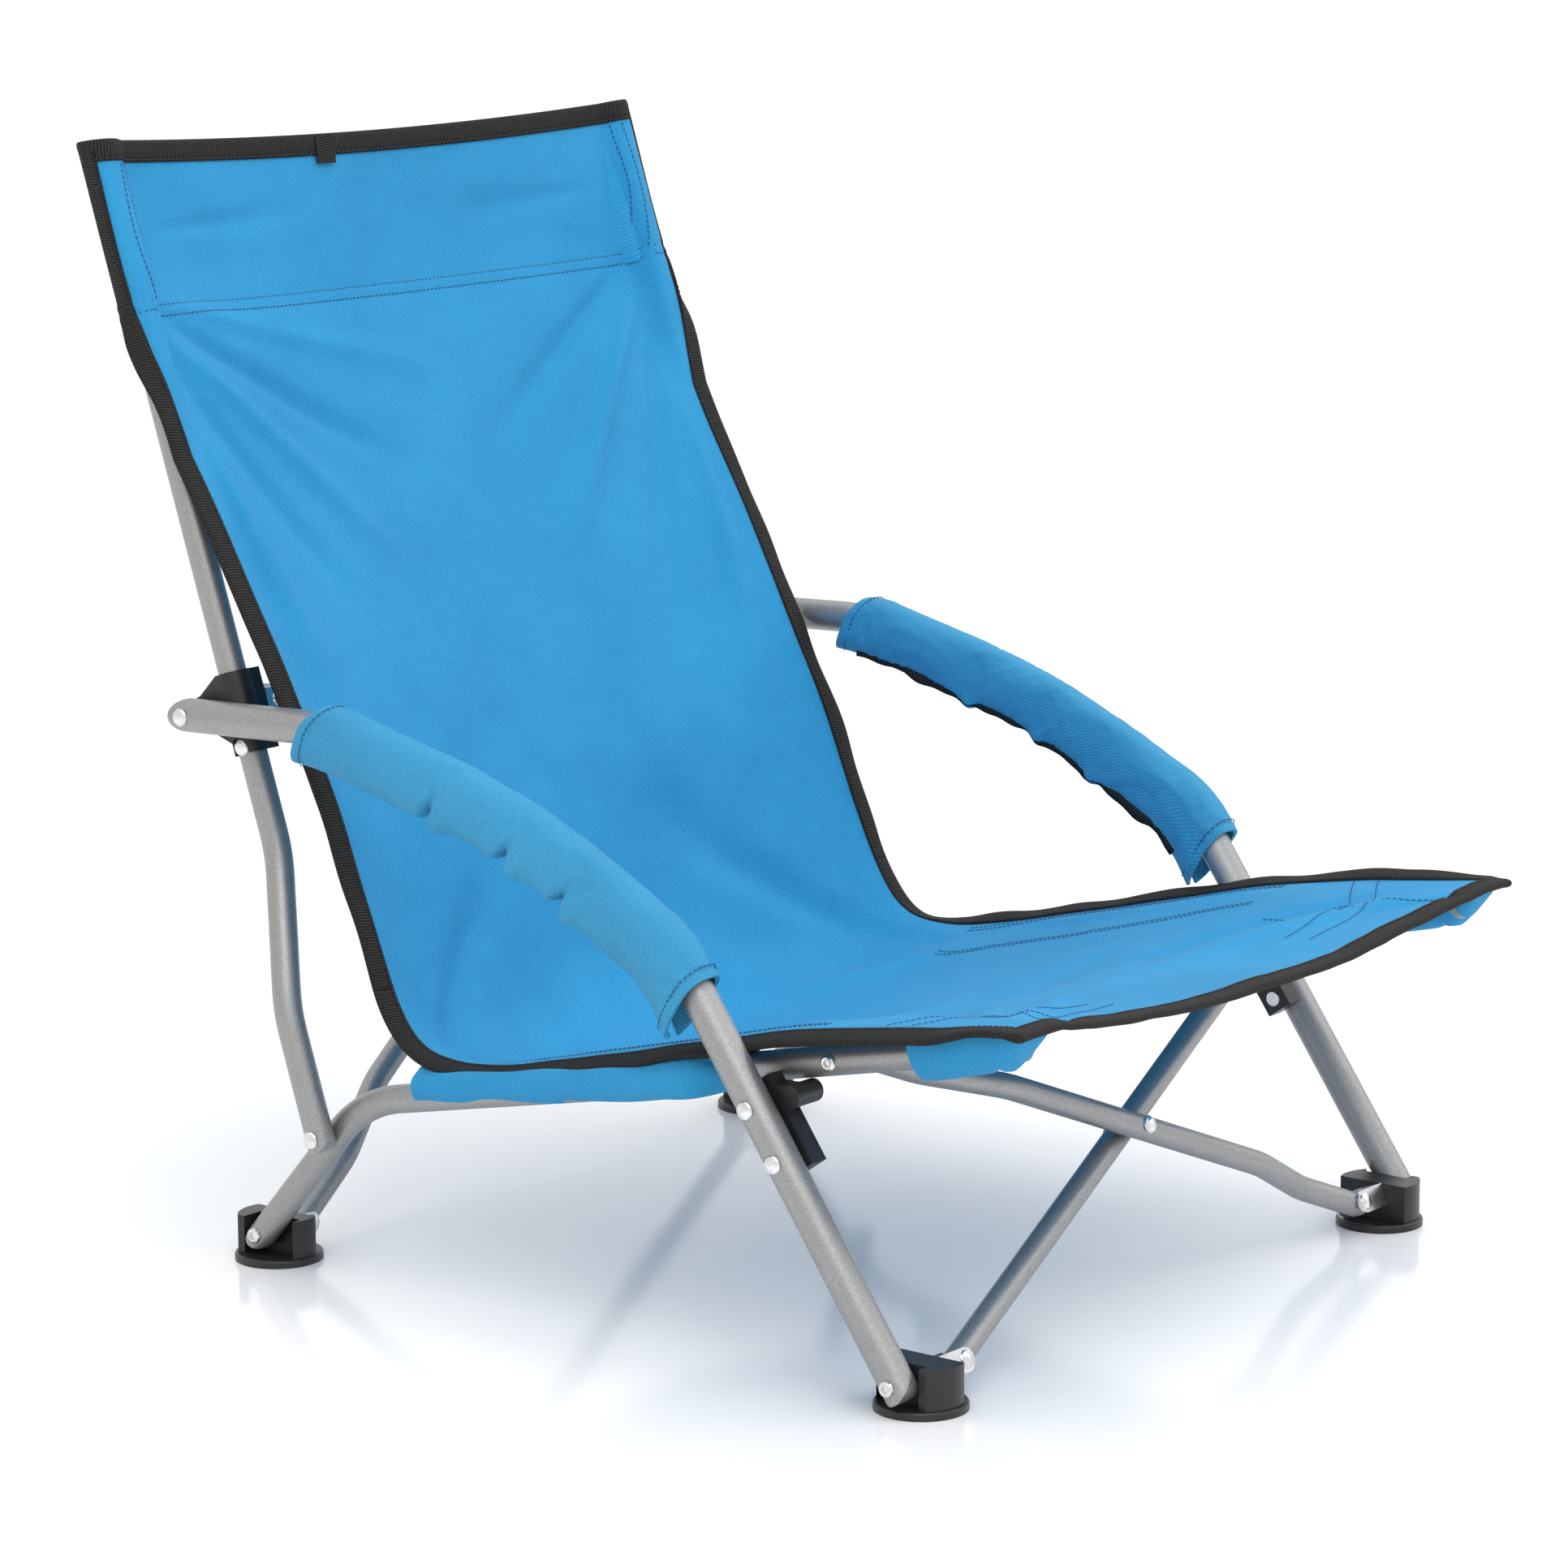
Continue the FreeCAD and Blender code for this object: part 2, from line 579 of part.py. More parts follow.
def build():
    """Every node's shape by name."""
    nodes = {}
    for side in SIDES:
        for make in (
            arm_leg_tube, arm_rivets, arm_pad, rail_rest, back_upright, upright_rivets, collar,
            seat_rail, rail_rivet, seat_sleeve, top_pocket, front_foot, front_foot_rivet, rear_foot,
            rear_foot_rivet,
        ):
            nodes[f"{side}_{make.__name__}"] = make(side)
        places = {
            "front_foot": (FRONT_PIVOT, FRONT_BLOCK_IN, FRONT_CROSS_X, FRONT_PLANE),
            "rail": (RAIL_CROSS, RAIL_FRONT_X - FRAME_R, FRONT_CROSS_X, FRONT_PLANE),
            "rear_foot": (REAR_PIVOT, REAR_BLOCK_IN, REAR_CROSS_X, REAR_PLANE),
            "collar": (UPRIGHT_CROSS, COLLAR_BOSS_IN, REAR_CROSS_X, REAR_PLANE),
        }
        for place, where in places.items():
            own_base = place in ("rail", "collar") or (side, place) == OPEN_FOOT
            nodes[f"{side}_{place}_bracket"] = bracket(side, *where)
            nodes[f"{side}_{place}_bracket_rivets"] = bracket_rivets(side, *where, own_base)
    front = (FRONT_PIVOT, RAIL_CROSS)
    rear = (REAR_PIVOT, UPRIGHT_CROSS)
    nodes["front_straight_cross_tube"] = cross_tube("right", *front, FRONT_CROSS_X, FRONT_PLANE, 0)
    nodes["front_cranked_cross_tube"] = cross_tube("left", *front, FRONT_CROSS_X, FRONT_PLANE, CRANK)
    nodes["front_centre_rivet"] = centre_rivet(*front, FRONT_PLANE, True)
    nodes["rear_straight_cross_tube"] = cross_tube("left", *rear, REAR_CROSS_X, REAR_PLANE, 0)
    nodes["rear_cranked_cross_tube"] = cross_tube("right", *rear, REAR_CROSS_X, REAR_PLANE, -CRANK)
    nodes["rear_centre_rivet"] = centre_rivet(*rear, REAR_PLANE, False)
    nodes["sling_back"] = band(BACK_PROFILE, BEHIND)
    nodes["sling_seat"] = band(SEAT_PROFILE, (0.0, -1.0))
    nodes["label_tab"] = label_tab()
    return nodes


BOX_FRONT_Y = SEAT_PROFILE[-1][0]
BOX_REAR_Y = along(UPRIGHT_TOP, UP, POCKET_CAP)[0] + SLEEVE_OUT * UP[1]
TO_ORIGIN = Vec(0, -(BOX_FRONT_Y + BOX_REAR_Y) / 2, 0)

os.makedirs("parts", exist_ok=True)
for name, shape in build().items():
    if not shape.isValid() or shape.Volume <= 0:
        print("bad shape:", name)
    shape.translated(TO_ORIGIN).exportStep(f"parts/{name}.step")
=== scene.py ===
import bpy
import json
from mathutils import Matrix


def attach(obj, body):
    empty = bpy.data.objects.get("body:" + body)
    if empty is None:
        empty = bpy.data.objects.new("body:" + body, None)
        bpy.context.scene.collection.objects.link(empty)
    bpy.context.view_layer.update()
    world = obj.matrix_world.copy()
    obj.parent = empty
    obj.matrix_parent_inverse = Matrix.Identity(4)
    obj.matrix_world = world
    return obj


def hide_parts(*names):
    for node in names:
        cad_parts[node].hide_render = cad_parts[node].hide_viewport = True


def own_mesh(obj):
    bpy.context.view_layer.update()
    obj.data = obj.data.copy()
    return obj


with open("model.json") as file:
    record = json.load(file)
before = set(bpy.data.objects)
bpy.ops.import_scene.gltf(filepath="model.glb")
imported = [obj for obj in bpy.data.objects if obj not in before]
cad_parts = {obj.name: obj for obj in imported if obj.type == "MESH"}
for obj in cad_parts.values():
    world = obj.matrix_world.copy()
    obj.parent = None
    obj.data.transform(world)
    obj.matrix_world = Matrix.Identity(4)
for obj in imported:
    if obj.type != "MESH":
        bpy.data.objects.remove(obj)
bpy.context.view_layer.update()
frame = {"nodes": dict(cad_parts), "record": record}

import json
import math

import bmesh
import bpy
import numpy as np
from mathutils import Matrix, Vector, noise

# Looks of a low folding camp chair: one sewn sling, two padded arm sleeves, painted tubes, zinc
# fittings and moulded feet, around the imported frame. Metres, +Z up, the chair faces -Y.

SIDES = {"right": -1.0, "left": 1.0}

# ---- the cloth's pattern ------------------------------------------------------------------------

# The sling's side edge seen from the side, (y, z), from the top corner over the bend to the front.
EDGE = [
    (0.316, 0.624), (0.299, 0.545), (0.277, 0.495), (0.246, 0.440), (0.218, 0.392), (0.190, 0.342),
    (0.168, 0.300), (0.148, 0.260), (0.124, 0.200), (0.105, 0.160), (0.088, 0.141), (0.064, 0.1355),
    (0.028, 0.1385), (-0.040, 0.1545), (-0.105, 0.1705), (-0.170, 0.1870), (-0.230, 0.1975),
    (-0.280, 0.2040), (-0.325, 0.2100),
]
BEND_AT = 0.523
SAG = [(0.0, 0.004), (0.10, 0.010), (0.22, 0.024), (0.38, 0.034), (0.52, 0.034), (0.62, 0.030),
       (0.80, 0.024), (0.92, 0.016), (1.0, 0.013)]
HALF_WIDTH = [(0.0, 0.2430), (0.10, 0.2430), (0.20, 0.2315), (0.28, 0.2300), (0.36, 0.2285), (0.50, 0.2300),
              (0.62, 0.2330), (0.85, 0.2345), (1.0, 0.2375)]
FLAT_FROM = [(0.0, 0.214), (0.45, 0.220), (0.62, 0.218), (0.80, 0.200), (1.0, 0.200)]
CLOTH = 0.0009
HOLLOW_POWER = 2.1
TOP_DIP, TOP_DIP_RUN = 0.0065, 0.10

# How the cloth passes the uprights: the cover's radius, where it rises to it and where its wrap ends.
TUBE_COVER = 0.0096
COVER_RISES = (0.206, 0.218)
WRAP_ENDS = (0.088, 0.170)

# Unevenness: the span it stays inside, (scale, seed, depth) of each ripple, and the slack of the edges.
SMOOTH_FROM = (0.198, 0.214)
RIPPLES = [(11.0, 1, 0.0028), (34.0, 2, 0.0010), (75.0, 4, 0.0003)]
FOLD_STRENGTH = 1.5
EDGE_WAVE = 0.0030
CURL, BACK_CURL, FRONT_CURL = 0.0045, 0.0012, 0.0027
CURL_WIDTH = 0.013

HEADREST_RUN, SEAM_GAP = 0.094, 0.006
SEAM_GROOVE, SEAM_GROOVE_WIDTH = 0.0007, 0.0016

UPRIGHT_X = 0.222
UPRIGHT_TOP = (0.3157, 0.612)
POCKET_ABOVE = 0.0125
UPRIGHT_LEAN = math.atan2(0.174, 0.527)
UPRIGHT_AXIS = np.array([math.sin(UPRIGHT_LEAN), math.cos(UPRIGHT_LEAN)])

ARM_X = 0.242
ARM_PATH = [(0.1570, 0.3137), (0.1347, 0.314), (0.0, 0.279), (-0.109, 0.224), (-0.1245, 0.2020)]
ARM_RADII = (0.120, 0.400, 0.070)
PAD_UP, PAD_OUTER, PAD_INNER = 0.0150, 0.0160, 0.0116
PAD_DOWN = [(0.0, 0.0215), (0.55, 0.0215), (0.80, 0.0255), (1.0, 0.0310)]
PAD_SLANT = 0.007
PAD_START = 0.046

RAIL_X = 0.230
RAIL_FRONT_X = 0.212
RAIL_RUN = [(0.0790, 0.1197), (-0.1063, 0.1518), (-0.1318, 0.1593), (-0.1370, 0.1604)]
SLEEVE_RADIUS = 0.0092
RAIL_BEND_RADIUS = 0.024

# The front pocket opens at a y; how far it hangs below the cloth, from its opening to the front edge.
POCKET_OPENING = -0.2475
POCKET_HANG = ([0, 0.80, 0.90, 0.97, 1.0], [0.0262, 0.0212, 0.0150, 0.0075, 0.0012])


class Line:
    """A smooth line through a few points, read by its share of length."""

    def __init__(self, points, smooth=True):
        points = np.array(points, float)
        if smooth:
            points = self.rounded(points)
        steps = np.linalg.norm(np.diff(points, axis=0), axis=1)
        self.points = points
        self.length = float(steps.sum())
        self.share = np.concatenate([[0.0], np.cumsum(steps)]) / self.length

    @staticmethod
    def rounded(points, steps=16):
        ends = np.vstack([2 * points[0] - points[1], points, 2 * points[-1] - points[-2]])
        t = np.linspace(0, 1, steps, endpoint=False)[:, None]
        runs = []
        for a, b, c, d in zip(ends, ends[1:], ends[2:], ends[3:]):
            bend = 2 * b + (c - a) * t + (2 * a - 5 * b + 4 * c - d) * t**2
            runs.append(0.5 * (bend + (3 * b - a - 3 * c + d) * t**3))
        return np.vstack(runs + [points[-1:]])

    def at(self, share):
        return np.stack([np.interp(share, self.share, column) for column in self.points.T], -1)

    def tangent(self, share, step=0.004):
        ahead = self.at(np.clip(share + step, 0, 1)) - self.at(np.clip(share - step, 0, 1))
        return ahead / np.linalg.norm(ahead, axis=-1, keepdims=True)


def rounded_run(points, radii, steps=18):
    """Straight runs joined by tangent arcs, as one dense line."""
    points = [np.array(p, float) for p in points]
    line = [points[0]]
    for before, corner, after, radius in zip(points, points[1:], points[2:], radii):
        back = (before - corner) / np.linalg.norm(before - corner)
        ahead = (after - corner) / np.linalg.norm(after - corner)
        half_turn = (math.pi - math.acos(float(np.clip(back @ ahead, -1, 1)))) / 2
        reach = radius * math.tan(half_turn)
        inward = (back + ahead) / np.linalg.norm(back + ahead)
        centre = corner + inward * radius / math.cos(half_turn)
        enter, leave = corner + back * reach, corner + ahead * reach
        for t in np.linspace(0, 1, steps):
            spoke = (enter - centre) * (1 - t) + (leave - centre) * t
            line.append(centre + spoke / np.linalg.norm(spoke) * radius)
    line.append(points[-1])
    return Line(line, smooth=False)


def read(table, share):
    """A value between the rows of a (share, value) table, eased."""
    line = Line(table)
    return np.interp(share, line.points[:, 0], line.points[:, 1])


def ease(value, low, high):
    """0 up to low, 1 from high on and smooth between; low may be the larger."""
    t = np.clip((value - low) / (high - low), 0, 1)
    return t * t * (3 - 2 * t)


EDGE_LINE = Line(EDGE)


def fold(x, run, start, end, width, depth):
    """One soft fold along a straight line on the cloth; start and end are (x, metres from the top)."""
    ax, ay = start
    dx, dy = end[0] - ax, end[1] - ay
    length = math.hypot(dx, dy)
    along = ((x - ax) * dx + (run - ay) * dy) / length**2
    off = ((x - ax) * dy - (run - ay) * dx) / length
    taper = FOLD_STRENGTH * ease(along, -0.08, 0.25) * (1 - ease(along, 0.6, 1.1))
    spread = width * (0.6 + 0.9 * np.clip(along, 0, 1))
    return depth * taper * np.exp(-((off / spread) ** 2))


# Folds: start, end, width and depth, on the cloth as (x, metres from the top edge).
FOLDS = [
    ((-0.205, 0.100), (-0.020, 0.205), 0.0075, 0.0038), ((-0.205, 0.112), (-0.060, 0.260), 0.0080, -0.0042),
    ((-0.208, 0.125), (-0.110, 0.300), 0.0085, 0.0040), ((-0.214, 0.150), (-0.165, 0.350), 0.0080, -0.0036),
    ((-0.200, 0.092), (0.040, 0.150), 0.0070, -0.0022), ((-0.212, 0.170), (-0.190, 0.420), 0.0090, 0.0026),
    ((0.205, 0.100), (0.030, 0.205), 0.0080, 0.0034), ((0.206, 0.115), (0.075, 0.270), 0.0085, -0.0038),
    ((0.210, 0.135), (0.135, 0.330), 0.0090, 0.0034), ((0.214, 0.170), (0.180, 0.400), 0.0080, -0.0028),
    ((-0.215, 0.560), (-0.060, 0.440), 0.0120, 0.0040), ((0.215, 0.560), (0.070, 0.430), 0.0120, 0.0042),
    ((-0.205, 0.600), (0.000, 0.520), 0.0110, -0.0030), ((0.205, 0.600), (0.010, 0.500), 0.0120, -0.0032),
    ((-0.200, 0.900), (-0.060, 0.780), 0.0100, 0.0034), ((0.195, 0.905), (0.070, 0.790), 0.0110, 0.0036),
    ((-0.195, 0.925), (-0.020, 0.850), 0.0080, -0.0026), ((0.190, 0.930), (0.040, 0.850), 0.0090, -0.0030),
    ((-0.190, 0.050), (-0.060, 0.045), 0.0060, 0.0014), ((0.190, 0.050), (0.060, 0.055), 0.0070, 0.0014),
    ((-0.180, 0.700), (0.120, 0.680), 0.0200, -0.0022), ((0.170, 0.760), (-0.090, 0.740), 0.0180, 0.0018),
    ((-0.196, 0.960), (-0.130, 0.905), 0.0050, 0.0016), ((0.196, 0.960), (0.140, 0.900), 0.0050, 0.0018),
]


def ripple(points, scale, seed):
    """Smooth seeded noise, one value for each point."""
    offset = Vector((seed * 7.3, seed * 3.1, seed * 5.7))
    return np.array([noise.noise(Vector(p) * scale + offset) for p in points])


def sling(across, share):
    """Points of the sling; across runs from -1 to 1 between its edges, share from top to front."""
    across, share = np.broadcast_arrays(np.asarray(across, float), np.asarray(share, float))
    half = read(HALF_WIDTH, share)
    x = across * half
    line = EDGE_LINE.at(share)
    tangent = EDGE_LINE.tangent(share)
    behind = np.stack([-tangent[..., 1], tangent[..., 0]], -1)
    run = share * EDGE_LINE.length

    to_top = np.array(UPRIGHT_TOP) - line
    crossing = behind[..., 0] * UPRIGHT_AXIS[1] - behind[..., 1] * UPRIGHT_AXIS[0]
    axis_behind = (to_top[..., 0] * UPRIGHT_AXIS[1] - to_top[..., 1] * UPRIGHT_AXIS[0]) / crossing
    forward = np.maximum(0, TUBE_COVER - axis_behind) * (share < BEND_AT) * ease(np.abs(x), *COVER_RISES)
    # Beside the pocket the edge wraps round the upright; further down it runs out flat.
    around = np.maximum(np.abs(x) - UPRIGHT_X, 0)
    bend = np.maximum(1 - ease(run, *WRAP_ENDS), 0.02) / TUBE_COVER
    wrapped = (1 - np.cos(bend * around)) / bend
    beside = np.sign(x) * (np.minimum(np.abs(x), UPRIGHT_X) + np.sin(bend * around) / bend)

    hollow = 1 - np.clip(np.abs(x) / read(FLAT_FROM, share), 0, 1) ** HOLLOW_POWER
    depth = read(SAG, share) * hollow - forward + wrapped
    inside = 1 - ease(np.abs(x), *SMOOTH_FROM)
    depth = depth + sum(fold(x, run, *row) for row in FOLDS) * inside
    flat = np.stack([x.ravel(), run.ravel(), np.zeros(x.size)], -1)
    soft = sum(ripple(flat, scale, seed) * size for scale, seed, size in RIPPLES)
    depth = depth + soft.reshape(x.shape) * ease(run, 0.0, 0.04) * inside
    for seam_run in (HEADREST_RUN, HEADREST_RUN + SEAM_GAP):
        depth = depth + SEAM_GROOVE * np.exp(-(((run - seam_run) / SEAM_GROOVE_WIDTH) ** 2))

    edge_wave = ripple(flat * (0.2, 1.0, 1.0), 22.0, 3).reshape(x.shape) * EDGE_WAVE
    free = ease(run, 0.12, 0.20) * (1 - ease(run, 0.93, 0.97))
    curl = np.where(x < 0, CURL, -CURL) * ease(share, 0.56, 0.64) + BACK_CURL * ease(run, 0.17, 0.25)
    near_side = ease(half - np.abs(x), CURL_WIDTH, 0.0)
    near_front = ease(EDGE_LINE.length - run, CURL_WIDTH, 0.0)
    depth = depth + (edge_wave * free + curl * (1 - ease(run, 0.90, 0.94))) * near_side
    depth = depth + FRONT_CURL * near_front

    dip = TOP_DIP * (1 - np.abs(across) ** 2) * (1 - ease(run, 0.0, TOP_DIP_RUN))
    y = line[..., 0] + behind[..., 0] * depth + tangent[..., 0] * dip
    z = line[..., 1] + behind[..., 1] * depth + tangent[..., 1] * dip
    return np.stack([beside, y, z], -1)


def side_of(across, share):
    """The cloth's unit normal on the sitter's side."""
    step = 0.002
    along = sling(across, np.clip(share + step, 0, 1)) - sling(across, np.clip(share - step, 0, 1))
    wide = sling(np.clip(across + 0.01, -1, 1), share) - sling(np.clip(across - 0.01, -1, 1), share)
    normal = np.cross(wide, along)
    return -normal / np.linalg.norm(normal, axis=-1, keepdims=True)


# ---- meshes -------------------------------------------------------------------------------------


def make_object(name, verts, faces, uvs=None, smooth=True):
    """A mesh object; uvs gives one (u, v) for each vertex."""
    mesh = bpy.data.meshes.new(name)
    mesh.from_pydata([tuple(map(float, v)) for v in verts], [], [tuple(map(int, f)) for f in faces])
    mesh.validate()
    if uvs is not None:
        layer = mesh.uv_layers.new(name="pattern")
        index = np.zeros(len(mesh.loops), int)
        mesh.loops.foreach_get("vertex_index", index)
        layer.data.foreach_set("uv", np.asarray(uvs, float)[index].ravel())
    mesh.polygons.foreach_set("use_smooth", [smooth] * len(mesh.polygons))
    obj = bpy.data.objects.new(name, mesh)
    bpy.context.scene.collection.objects.link(obj)
    return obj


def grid_faces(rows, columns, ring=False):
    """Quads of a grid whose vertices run row by row; a ring closes each row on itself."""
    faces = []
    last = columns if ring else columns - 1
    for i in range(rows - 1):
        for j in range(last):
            k = (j + 1) % columns
            faces.append((i * columns + j, i * columns + k, (i + 1) * columns + k, (i + 1) * columns + j))
    return faces


def thicken(obj, thickness, offset=-1.0):
    """Give a sheet its thickness, inwards at -1, with crisp rims, and keep the result as its mesh."""
    modifier = obj.modifiers.new("thickness", "SOLIDIFY")
    modifier.thickness = thickness
    modifier.offset = offset
    apply_modifiers(obj)
    obj.data.set_sharp_from_angle(angle=math.radians(60))
    return obj


def soften(obj):
    """One level of subdivision, kept as the mesh."""
    obj.modifiers.new("soften", "SUBSURF").levels = 1
    apply_modifiers(obj)


def face_out(obj):
    """Turn every face of a closed mesh outwards."""
    mesh = bmesh.new()
    mesh.from_mesh(obj.data)
    bmesh.ops.recalc_face_normals(mesh, faces=mesh.faces)
    mesh.to_mesh(obj.data)
    mesh.free()
    return obj


def turned_over(faces, needed):
    """The faces, each the other way round if needed."""
    return [tuple(reversed(face)) for face in faces] if needed else faces


def apply_modifiers(obj):
    """Replace the mesh by what its modifiers make of it."""
    graph = bpy.context.evaluated_depsgraph_get()
    mesh = bpy.data.meshes.new_from_object(obj.evaluated_get(graph))
    obj.modifiers.clear()
    obj.data = mesh


def swept_band(name, centres, sideways, upward, outline):
    """A solid strip along a line; the outline is (sideways, upward) in metres and goes round once."""
    outline = np.array(outline, float)
    count, corners = len(centres), len(outline)
    verts = (
        centres[:, None, :]
        + sideways[:, None, :] * outline[None, :, :1]
        + upward[:, None, :] * outline[None, :, 1:]
    ).reshape(-1, 3)
    steps = np.concatenate([[0.0], np.cumsum(np.linalg.norm(np.diff(centres, axis=0), axis=1))])
    around = np.concatenate([[0.0], np.cumsum(np.linalg.norm(np.diff(outline, axis=0), axis=1))])
    uvs = [(a, s) for s in steps for a in around]
    faces = grid_faces(count, corners, ring=True)
    faces.append(tuple(reversed(range(corners))))
    faces.append(tuple(range((count - 1) * corners, count * corners)))
    return face_out(make_object(name, verts, faces, uvs))


def stitches(name, centres, normals, pitch=0.0034, length=0.0026, width=0.00050, height=0.00042):
    """A row of sewing stitches along a line on a surface."""
    line = Line(centres, smooth=False)
    normal_line = [np.interp(line.share, line.share, n) for n in np.asarray(normals).T]
    count = max(2, int(line.length / pitch))
    shares = (np.arange(count) + 0.5) / count
    verts, faces = [], []
    profile = [(-1.0, 0.15), (-0.7, 0.85), (0.0, 1.0), (0.7, 0.85), (1.0, 0.15)]
    for share in shares:
        centre = line.at(share)
        along = line.tangent(share, 0.5 / count)
        up = np.array([np.interp(share, line.share, n) for n in normal_line])
        up = up / np.linalg.norm(up)
        side = np.cross(along, up)
        base = len(verts)
        for reach, size in profile:
            middle = centre + along * reach * length / 2 + up * height * 0.4
            for k in range(6):
                angle = k * math.pi / 3
                round_it = side * math.cos(angle) * width + up * math.sin(angle) * height
                verts.append(middle + round_it * size)
        for ring in range(len(profile) - 1):
            for k in range(6):
                m = (k + 1) % 6
                a = base + ring * 6
                faces.append((a + k, a + m, a + 6 + m, a + 6 + k))
        faces.append(tuple(base + k for k in reversed(range(6))))
        faces.append(tuple(base + 6 * (len(profile) - 1) + k for k in range(6)))
    return make_object(name, verts, faces)


def joined(name, parts):
    """Several mesh objects as one."""
    verts, faces, uvs, has_uv = [], [], [], all(p.data.uv_layers for p in parts)
    for part in parts:
        base = len(verts)
        verts += [tuple(v.co) for v in part.data.vertices]
        faces += [tuple(base + i for i in p.vertices) for p in part.data.polygons]
        if has_uv:
            loops = part.data.loops
            own = [(0.0, 0.0)] * len(part.data.vertices)
            for loop, data in zip(loops, part.data.uv_layers[0].data):
                own[loop.vertex_index] = tuple(data.uv)
            uvs += own
    whole = make_object(name, verts, faces, uvs if has_uv else None)
    for part in parts:
        bpy.data.objects.remove(part)
    return whole


# ---- materials ----------------------------------------------------------------------------------


class Surface:
    """A node material with a Principled shader and short calls to add nodes."""

    def __init__(self, name, roughness, metallic=0.0, **sockets):
        self.material = bpy.data.materials.new(name)
        self.material.use_nodes = True
        self.nodes = self.material.node_tree.nodes
        self.links = self.material.node_tree.links
        self.shader = self.nodes["Principled BSDF"]
        self.shader.inputs["Metallic"].default_value = metallic
        self.shader.inputs["Roughness"].default_value = roughness
        for socket, value in sockets.items():
            self.shader.inputs[socket.replace("_", " ")].default_value = value

    def node(self, kind, inputs=(), **settings):
        made = self.nodes.new("ShaderNode" + kind)
        for key, value in settings.items():
            setattr(made, key, value)
        for key, value in dict(inputs).items():
            if isinstance(value, bpy.types.NodeSocket):
                self.links.new(value, made.inputs[key])
            else:
                made.inputs[key].default_value = value
        return made

    def math(self, operation, first, second=0.0):
        return self.node("Math", {0: first, 1: second}, operation=operation).outputs[0]

    def place(self, kind="Object"):
        return self.node("TexCoord").outputs[kind]

    def noise(self, vector, scale, detail=3.0, roughness=0.55):
        inputs = {"Vector": vector, "Scale": scale, "Detail": detail, "Roughness": roughness}
        return self.node("TexNoise", inputs).outputs["Fac"]

    def ramp(self, factor, *stops):
        made = self.node("ValToRGB", {"Fac": factor})
        elements = made.color_ramp.elements
        while len(elements) < len(stops):
            elements.new(0.5)
        for element, (position, colour) in zip(elements, stops):
            element.position = position
            element.color = (*colour, 1.0)
        return made.outputs["Color"]

    def mix(self, factor, first, second, blend="MIX"):
        made = self.node("Mix", data_type="RGBA", blend_type=blend)
        for key, value in ((0, factor), (6, first), (7, second)):
            if isinstance(value, bpy.types.NodeSocket):
                self.links.new(value, made.inputs[key])
            elif key == 0:
                made.inputs[key].default_value = value
            else:
                made.inputs[key].default_value = (*value, 1.0)
        return made.outputs[2]

    def colour(self, socket):
        self.links.new(socket, self.shader.inputs["Base Color"])

    def rough(self, factor, low, high):
        spread = self.node("MapRange", {"Value": factor, "To Min": low, "To Max": high})
        self.links.new(spread.outputs["Result"], self.shader.inputs["Roughness"])

    def bump(self, *heights):
        """Bumps, each (height socket, distance in metres)."""
        normal = None
        for height, distance in heights:
            inputs = {"Height": height, "Distance": distance, "Strength": 1.0}
            if normal is not None:
                inputs["Normal"] = normal
            normal = self.node("Bump", inputs).outputs["Normal"]
        self.links.new(normal, self.shader.inputs["Normal"])


def stripes(surface, vector, along_u, along_v, pitch):
    """Ribs across a direction of the pattern, from 0 to 1."""
    weights = (along_u, along_v, 0.0)
    dot = surface.node("VectorMath", {0: vector, 1: weights}, operation="DOT_PRODUCT").outputs["Value"]
    phase = surface.math("MULTIPLY", dot, 2 * math.pi / pitch)
    half_wave = surface.math("MULTIPLY", surface.math("SINE", phase), 0.5)
    return surface.math("ADD", half_wave, 0.5)


def woven(name, pitch, dark, light, fleck):
    """Diagonal weave with lighter flecks, worked from the pattern coordinates."""
    surface = Surface(name, 0.80, Sheen_Weight=0.04, Sheen_Roughness=0.5, Specular_IOR_Level=0.22)
    pattern = surface.place("UV")
    twill = stripes(surface, pattern, 0.82, 0.57, pitch)
    thread = stripes(surface, pattern, -0.5, 0.86, pitch * 0.62)
    weave = surface.math("MULTIPLY", twill, thread)
    tone = surface.noise(pattern, 9.0, 4.0)
    fine = surface.noise(pattern, 950.0, 2.0)
    base = surface.ramp(tone, (0.30, dark), (0.72, light))
    speck = surface.math("MULTIPLY", weave, surface.ramp(fine, (0.35, (0.25,) * 3), (0.70, (1.0,) * 3)))
    surface.colour(surface.mix(speck, base, fleck))
    surface.rough(tone, 0.70, 0.86)
    surface.bump((weave, 0.00030), (fine, 0.00008))
    return surface.material


def ribbed(name, pitch, dark, light):
    """Black woven tape with ribs across its length."""
    surface = Surface(name, 0.78, Specular_IOR_Level=0.2)
    pattern = surface.place("UV")
    rib = stripes(surface, pattern, 0.12, 0.99, pitch)
    fine = surface.noise(pattern, 700.0, 2.0)
    tone = surface.math("MULTIPLY", rib, fine)
    surface.colour(surface.ramp(tone, (0.15, dark), (0.75, light)))
    surface.rough(fine, 0.62, 0.84)
    surface.bump((rib, 0.00030), (fine, 0.00006))
    return surface.material


def thread(name, dark, light):
    """Sewing thread with a faint twist."""
    surface = Surface(name, 0.6)
    twist = surface.noise(surface.place(), 1600.0, 2.0)
    surface.colour(surface.ramp(twist, (0.3, dark), (0.7, light)))
    surface.bump((twist, 0.00006))
    return surface.material


